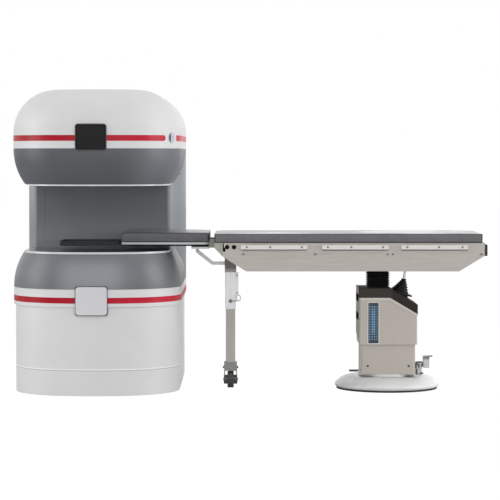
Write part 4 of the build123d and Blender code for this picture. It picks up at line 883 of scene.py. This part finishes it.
collar_slope, rod_lean = radians(30.5), radians(8.75)
boot_foot, foot_radius = (1.886, 0, 0.5919), 0.0645
boot_neck, neck_radius = (1.912, 0, 0.681), 0.0135
actuator_boot = boot("actuator_boot_skin", boot_foot, foot_radius, boot_neck, neck_radius,
                     collar_slope, rod_lean, ridges=7)
fitted(actuator_boot, black_rubber, None, "rubber_black", "actuator_boot")
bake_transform(actuator_boot)


def clamp_ring(name, at, outer, inner, length, lean):
    """A rubber ring with rounded rims, tilted about the Y axis."""
    ring = drum(name, (0, 0, 0), outer, length, "Z", 48)
    editing("FACE")
    pick_faces(lambda middle, normal: abs(normal.z) > 0.9)
    bpy.ops.mesh.inset(thickness=outer - inner)
    bpy.ops.mesh.bridge_edge_loops()
    done()
    eased(ring, length * 0.35)
    ring.rotation_euler.y = lean
    ring.location = at
    return settled(name)


neck_clamp = clamp_ring("boot_neck_clamp", boot_neck, outer=0.0155, inner=0.0113, length=0.008, lean=rod_lean)
fitted(neck_clamp, black_rubber, "lift", "rubber_black")
foot_lip = clamp_ring("boot_foot_lip", (1.9035, 0, 0.5940), outer=0.0640, inner=0.0520, length=0.0110,
                      lean=radians(18.5))
fitted(foot_lip, black_rubber, None, "rubber_black")
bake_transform(foot_lip)


# Screws, plugs and the gasket; dark strips and blocks as painted shadow, and bright strips as a painted
# highlight.


def socket_screw(name, radius, height, socket, depth):
    """A round head with a hexagon socket, at the origin and facing the front."""
    only()
    bpy.ops.mesh.primitive_circle_add(vertices=24, radius=radius, location=(0, 0, height))
    settled(name)
    editing("EDGE")
    bpy.ops.mesh.primitive_circle_add(vertices=6, radius=socket, location=(0, 0, height))
    pick_all()
    bpy.ops.mesh.bridge_edge_loops()
    editing("EDGE")
    pick_edges(lambda middle, along: middle.xy.length > radius * 0.95)
    push(0, 0, -height)
    bpy.ops.mesh.edge_face_add()
    editing("EDGE")
    pick_edges(lambda middle, along: middle.xy.length < socket)
    push(0, 0, -depth)
    bpy.ops.mesh.edge_face_add()
    pick_all()
    bpy.ops.mesh.normals_make_consistent(inside=False)
    done()
    screw = eased(bpy.context.object, radius * 0.09, angle=40)
    screw.rotation_euler.x = pi / 2
    return settled(name)


rail_lefts = (0.891, 1.388, 1.875)
short_holes, long_holes = (0.036, 0.180, 0.374), (0.036, 0.230, 0.374)
rail_holes = [left + hole for left in rail_lefts[:2] for hole in short_holes]
rail_holes += [rail_lefts[2] + hole for hole in long_holes]
rail_screw = socket_screw("rail_screw", radius=0.0068, height=0.0035, socket=0.0036, depth=0.0028)
rail_places = both_sides(rail_holes, rail_side, 0.8955)
copies("rail_screws", rail_screw, rail_places, screw_dark, "top", "bracket_steel")
frame_places = both_sides((0.907, 1.348, 1.791, 1.824, 2.367), frame_side, 0.851)
copies("frame_screws", rail_screw, frame_places, screw_dark, "top", "bracket_steel")
discard(rail_screw)

cover_side = 0.165
cover_screw = socket_screw("cover_screw", radius=0.0068, height=0.0022, socket=0.0027, depth=0.0016)
end_places = both_sides((1.678, 1.932), cover_side, 0.151)
copies("pedestal_screws", cover_screw, end_places, cap_dark, "pedestal", "bracket_steel")
middle_places = both_sides((1.805,), cover_side, 0.146)
copies("pedestal_middle_screws", cover_screw, middle_places, pedestal_beige, "pedestal", "bracket_steel")
discard(cover_screw)

panel_screw = socket_screw("panel_screw", radius=0.0095, height=0.0030, socket=0.0040, depth=0.0022)
panel_places = [(side * 0.332, 0.310, 0.913, 0) for side in (-1, 1)]
copies("gap_panel_screws", panel_screw, panel_places, panel_cap, "scanner", "panel_dark")
discard(panel_screw)


def plug(name, radius, proud):
    """A push-in rubber plug: a rounded rim round a sunk middle with a small raised button."""
    button = drum(name, (0, 0, 0), radius, 2 * proud, "Y", 40)
    editing("FACE")
    pick_faces(lambda middle, normal: normal.y < -0.9)
    bpy.ops.mesh.inset(thickness=radius * 0.32)
    bpy.ops.mesh.inset(thickness=radius * 0.08)
    bpy.ops.transform.translate(value=(0, proud * 0.75, 0))
    bpy.ops.mesh.inset(thickness=radius * 0.2)
    push(0, -proud * 0.5, 0)
    done()
    return eased(button, radius * 0.07, segments=3, angle=30)


def let_in(name, side, left, right, bottom, top, proud, sunk=0.0015):
    """A block let into the table frame's side and standing proud of it."""
    inner, outer = side * (frame_side - sunk), side * (frame_side + proud)
    return block(name, (left, min(inner, outer), bottom), (right, max(inner, outer), top))


# Dark strips under the rails: painted shadow where each rail stands off the frame.
rail_shadow_strip = block("rail_shadow_strip", (0.002, -0.3049, 0.8760), (0.407, -0.2951, 0.8830))
eased(rail_shadow_strip, 0.0008)
strip_shift = 0.409
strip_places = [place for left in rail_lefts for place in ((left, 0, 0, 0), (left + strip_shift, 0, 0, pi))]
copies("rail_shadow_strips", rail_shadow_strip, strip_places, shadow_strip_grey, "top", "rubber_black")
discard(rail_shadow_strip)

# Near-black blocks fill the frame's slot as painted shadow; the bright steel strips beside them are a painted
# highlight on the slot's chamfered edge.
slot_shadow_steps = ((0.7955, 0.8670, 0.8905), (0.7862, 0.8905, 0.9160))
slot_shadows = [let_in("frame_slot_shadows", side, 0.7805, right, bottom, top, proud=0.0020)
           for side in (-1, 1) for right, bottom, top in slot_shadow_steps]
fitted(eased(joined("frame_slot_shadows", slot_shadows), 0.0004), painted_shadow_black, "top", "rubber_black")
slot_glints = [let_in("slot_edge_glints", side, 0.7880, 0.7932, 0.8925, 0.9120, proud=0.0010) for side in (-1, 1)]
fitted(eased(joined("slot_edge_glints", slot_glints), 0.0006), steel_bright, "top", "bracket_steel")

frame_plug = plug("frame_plug", radius=0.0135, proud=0.0035)
plug_places = both_sides((0.8065, 0.8490), frame_side, 0.895)
copies("frame_plugs", frame_plug, plug_places, plug_black, "top", "rubber_black")
discard(frame_plug)


def gasket(name, low, high, corner, lip):
    """A rounded frame that shows as a thin line round a cover plate."""
    ring = block(name, low, high)
    editing("EDGE")
    pick_edges(lambda middle, along: abs(along.y) > 0.9)
    bpy.ops.mesh.bevel(offset=corner, segments=6, affect="EDGES")
    editing("FACE")
    pick_faces(lambda middle, normal: abs(normal.y) > 0.9)
    bpy.ops.mesh.inset(thickness=lip)
    bpy.ops.mesh.bridge_edge_loops()
    done()
    return eased(ring, 0.0004)


plate_low, plate_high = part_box("service_plate")
seal_line = 0.0036
seal_low = (plate_low.x - seal_line, -0.5235, plate_low.z - seal_line)
seal_high = (plate_high.x + seal_line, -0.512, plate_high.z + seal_line)
plate_seal = gasket("service_plate_gasket", seal_low, seal_high, corner=0.014, lip=0.009)
fitted(plate_seal, seal_black, "scanner", "bezel_grey")


# Laser port: a pale shield over the cup beside the lens, and a black part to the left of it, a painted shadow
# in the cup.


def port_part(name, radius, thickness, side, finish, slot):
    """A thin disc over the port, cut upright left of its middle; side tells which part of it stays."""
    disc = drum("port_disc", (0, 0, 0), radius, thickness, "Y", 48)
    editing("FACE")
    pick_all()
    cut = (-0.0100, 0, 0)
    bpy.ops.mesh.bisect(plane_co=cut, plane_no=(side, 0, 0), clear_inner=True, use_fill=True)
    done()
    eased(disc, 0.0003)
    fitted(placed(disc, name, port_x, port_y, port_z, port_turn), finish, "scanner", slot)
    discard(disc)


port_part("laser_port_shield", 0.0312, 0.0016, side=1, finish=port_lilac, slot="port_pale")
# The black part stands for the shadow inside the cup, as a painted shadow.
port_part("laser_port_shadow", 0.0316, 0.0014, side=-1, finish=painted_shadow_black, slot="display_black")


# Table end: the bumper strip with its moulded ribs.

bumper_low, bumper_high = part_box("end_bumper")
bumper_high = bumper_high + Vector((0.0045, 0, 0))
bumper = block("end_bumper_strip", bumper_low, bumper_high)
editing("EDGE")
pick_edges(lambda middle, along: abs(along.y) > 0.9)
bpy.ops.mesh.subdivide(number_cuts=1)
editing("FACE")
pick_faces(lambda middle, normal: normal.x > 0.9)
bpy.ops.mesh.inset(thickness=0.006)
push(-0.0028, 0, 0)
done()
eased(bumper, 0.0012, segments=3)
rib_low = (bumper_low.x + 0.002, bumper_low.y - 0.0018, -0.0030)
rib_high = (bumper_high.x + 0.0004, bumper_high.y + 0.0018, 0.0030)
rib = eased(block("bumper_rib", rib_low, rib_high), 0.0012, segments=3)
ribs = [placed(rib, "end_bumper_strip", 0, 0, bumper_low.z + share * (bumper_high.z - bumper_low.z), 0)
        for share in (0.2, 0.35, 0.5, 0.65, 0.8)]
discard(rib)
fitted(joined("end_bumper_strip", [bumper, *ribs]), bumper_rubber, "top", "rubber_black", "end_bumper")


# Castor and leg: fork bolts, bearing covers, the fold of the sleeve's flange and its screws.


def nut_and_stud(name, across, height, stud_radius, stud_proud):
    """A hexagon nut on its stud, at the origin and facing left, its face sunk inside a rim."""
    nut = drum(name, (-height / 2, 0, 0), across / 2, height, "X", 6)
    eased(nut, 0.0009, angle=50)
    editing("FACE")
    pick_faces(lambda middle, normal: normal.x < -0.99)
    bpy.ops.mesh.inset(thickness=across * 0.12)
    push(0.0006, 0, 0)
    done()
    stud_length = height + stud_proud
    stud = drum(name, (-stud_length / 2, 0, 0), stud_radius, stud_length, "X", 20)
    return joined(name, [nut, eased(stud, 0.0007)])


fork_nut = nut_and_stud("fork_nut", across=0.019, height=0.006, stud_radius=0.0042, stud_proud=0.004)
fork_half_width, bolt_z = 0.040, 0.1290
bolt_places = [(leg_x - fork_half_width, 0, bolt_z, 0), (leg_x + fork_half_width, 0, bolt_z, pi)]
copies("fork_bolts", fork_nut, bolt_places, screw_dark, "leg", "bracket_steel")
discard(fork_nut)


def rim_face(normal, sides):
    """Counts the faces round the rim of a drum that lies along X."""
    return round(atan2(normal.y, normal.z) * sides / (2 * pi) + sides + 0.5)


def bearing_cover(name, side):
    """A moulded cap over one side of the castor's bearing, ribbed like a gear round its rim."""
    sides = 36
    cap = drum(name, (leg_x + side * 0.0295, 0, wheel_z), 0.0285, 0.0250, "X", sides)
    editing("FACE")
    pick_faces(lambda middle, normal: normal.x * side > 0.9)
    bpy.ops.mesh.inset(thickness=0.0045)
    push(-0.0020 * side, 0, 0)
    bpy.ops.mesh.inset(thickness=0.010)
    push(0.0035 * side, 0, 0)
    editing("FACE")
    pick_faces(lambda middle, normal: abs(normal.x) < 0.1 and rim_face(normal, sides) % 3 == 0)
    bpy.ops.mesh.inset(thickness=0.0007, use_individual=True)
    bpy.ops.transform.shrink_fatten(value=-0.0012)
    done()
    return eased(cap, 0.0008)


for side, word in ((-1, "left"), (1, "right")):
    fitted(bearing_cover(f"bearing_cover_{word}", side), cap_dark, "leg", "castor_grey")

sleeve_fold = block("sleeve_fold", (0.8545, -0.0325, 0.5885), (0.8745, -0.0288, 0.7270))
fitted(eased(sleeve_fold, 0.0004), sleeve_alloy, "top", "leg_alloy")
flange_screw = socket_screw("flange_screw", radius=0.0064, height=0.0004, socket=0.0028, depth=0.0010)
flange_places = [(0.865, -0.0324, z, 0) for z in (0.598, 0.707)]
copies("flange_screws", flange_screw, flange_places, screw_dark, "top", "bracket_steel")
discard(flange_screw)

# Rubber lips of the side post's two sockets, round its front edge.

half_lip = 0.023
lips = [block("socket_lips", (1.6128, -0.1404, z - half_lip), (1.6210, -0.1380, z + half_lip))
        for z in (0.460, 0.574)]
fitted(eased(joined("socket_lips", lips), 0.0008), plug_black, "pedestal", "rubber_black")

# Carrier plate under the board, between its knuckles.

carrier = block("board_carrier", (0.586, -0.250, 0.8825), (0.694, 0.250, 0.8945))
editing("EDGE")
pick_edges(lambda middle, along: abs(along.z) > 0.9 and middle.x < 0.6)
bpy.ops.mesh.bevel(offset=0.012, segments=5, affect="EDGES")
done()
fitted(eased(carrier, 0.0010), plate_alloy, "top", "bracket_steel")

# Brake pedal bracket: a folded hook over an inner one, a strut and two rubber stops.


bracket_face = -0.1545


def folded_hook(name, left, right, front, bottom, top, sheet):
    """A folded sheet hook, open below: two legs and a rounded back."""
    hook = block(name, (left, front, bottom), (right, bracket_face, top))
    editing("FACE")
    pick_faces(lambda middle, normal: normal.z < -0.9)
    bpy.ops.mesh.delete(type="FACE")
    editing("EDGE")
    pick_edges(lambda middle, along: abs(along.y) > 0.9 and middle.z > top - sheet)
    bpy.ops.mesh.bevel(offset=0.010, segments=5, affect="EDGES")
    editing("FACE")
    pick_faces(lambda middle, normal: abs(normal.y) > 0.9)
    bpy.ops.mesh.delete(type="FACE")
    done()
    modified(hook, "SOLIDIFY", thickness=sheet, offset=-1)
    fitted(eased(hook, 0.0005), hook_steel, "pedestal", "bracket_steel")


folded_hook("bracket_hook", 1.9745, 2.0205, front=-0.1610, bottom=0.146, top=0.1800, sheet=0.0080)
folded_hook("bracket_inner_hook", 1.9750, 2.0000, front=-0.1605, bottom=0.137, top=0.1645, sheet=0.0065)
strut = block("bracket_strut", (1.9780, -0.1600, 0.098), (1.9870, bracket_face, 0.134))
fitted(eased(strut, 0.001), cap_dark, "pedestal", "bracket_steel")
stops = [block("pedal_stops", (1.9990, -0.1610, 0.0980), (2.0110, bracket_face, 0.1070)),
         block("pedal_stops", (2.0105, -0.1620, 0.1010), (2.0230, bracket_face, 0.1120))]
fitted(eased(joined("pedal_stops", stops), 0.003, segments=3), cap_dark, "pedestal", "rubber_black")


# Studio: a white room, a broad lamp before the front, one at each side and above, and two low fills.


def studio():
    """White air that is seen and mirrored at full strength and lights the parts more faintly."""
    world = bpy.data.worlds.new("studio_air")
    bpy.context.scene.world = world
    air = Graph(world, "Background")
    air.set("Color", (1, 1, 1, 1))
    seen = air.node("ShaderNodeLightPath", output="Is Camera Ray")
    mirrored = air.node("ShaderNodeLightPath", output="Is Glossy Ray")
    air.set("Strength", 0.34 + seen.larger(mirrored) * 0.66)


def lamp(name, at, towards, width, height, power, mirrored=True):
    bpy.ops.object.light_add(type="AREA", location=at)
    light = bpy.context.object
    light.name = name
    light.data.shape = "RECTANGLE"
    light.data.size = width
    light.data.size_y = height
    light.data.energy = power
    light.visible_glossy = mirrored
    light.rotation_euler = (Vector(towards) - Vector(at)).to_track_quat("-Z", "Y").to_euler()


def floor():
    """A pale floor that takes soft shadows and is seen as almost plain white."""
    bpy.ops.mesh.primitive_plane_add(size=80, location=(0.9, 10, -0.0005))
    ground = bpy.context.object
    ground.name = "studio_floor"
    finish = Finish("studio_floor", roughness=0.6)
    finish.set("Base Color", finish.tinted(rgb(206, 206, 206), 0.99, finish.noise(3)))
    paint = Value(finish, finish.shader.outputs[0])
    glow = finish.node("ShaderNodeEmission", sockets={"Strength": 1.08})
    seen = finish.node("ShaderNodeLightPath", output="Is Camera Ray")
    surface = finish.node("ShaderNodeMixShader", sockets={0: seen * 0.9, 1: paint, 2: glow})
    finish.feed(finish.tree.nodes["Material Output"].inputs["Surface"], surface)
    ground.data.materials.append(finish.material)


def camera():
    """The photo's view, from far off and looking down slightly."""
    downward, focal_length, sensor = 2.47, 155.4, 36
    bpy.ops.object.camera_add(location=(0.947, -13.52, 1.448), rotation=(radians(90 - downward), 0, 0))
    view = bpy.context.object
    view.name = "photo_camera"
    view.data.lens = focal_length
    view.data.sensor_width = sensor
    bpy.context.scene.camera = view


studio()
floor()
camera()
lamp("front_softbox", at=(0.9, -8, 3.4), towards=(0.9, 0, 0.9), width=9, height=5, power=165)
lamp("left_softbox", at=(-5.2, -1.2, 2.6), towards=(0, 0.2, 1), width=3, height=4.5, power=120)
lamp("right_softbox", at=(6.4, -1.6, 2.6), towards=(0.8, 0.2, 0.9), width=3, height=4.5, power=165)
lamp("top_softbox", at=(0.9, 0.4, 5.6), towards=(0.9, 0.2, 0.8), width=6, height=5, power=66)
lamp("low_left_fill", at=(-1.3, -3.6, 0.5), towards=(1.7, 0, 0.15), width=1.4, height=0.5, power=12,
     mirrored=False)
lamp("low_right_fill", at=(3.3, 1.5, 0.6), towards=(0.5, 0, 0.4), width=1.4, height=0.8, power=28,
     mirrored=False)
bpy.context.scene.view_settings.view_transform = "Standard"
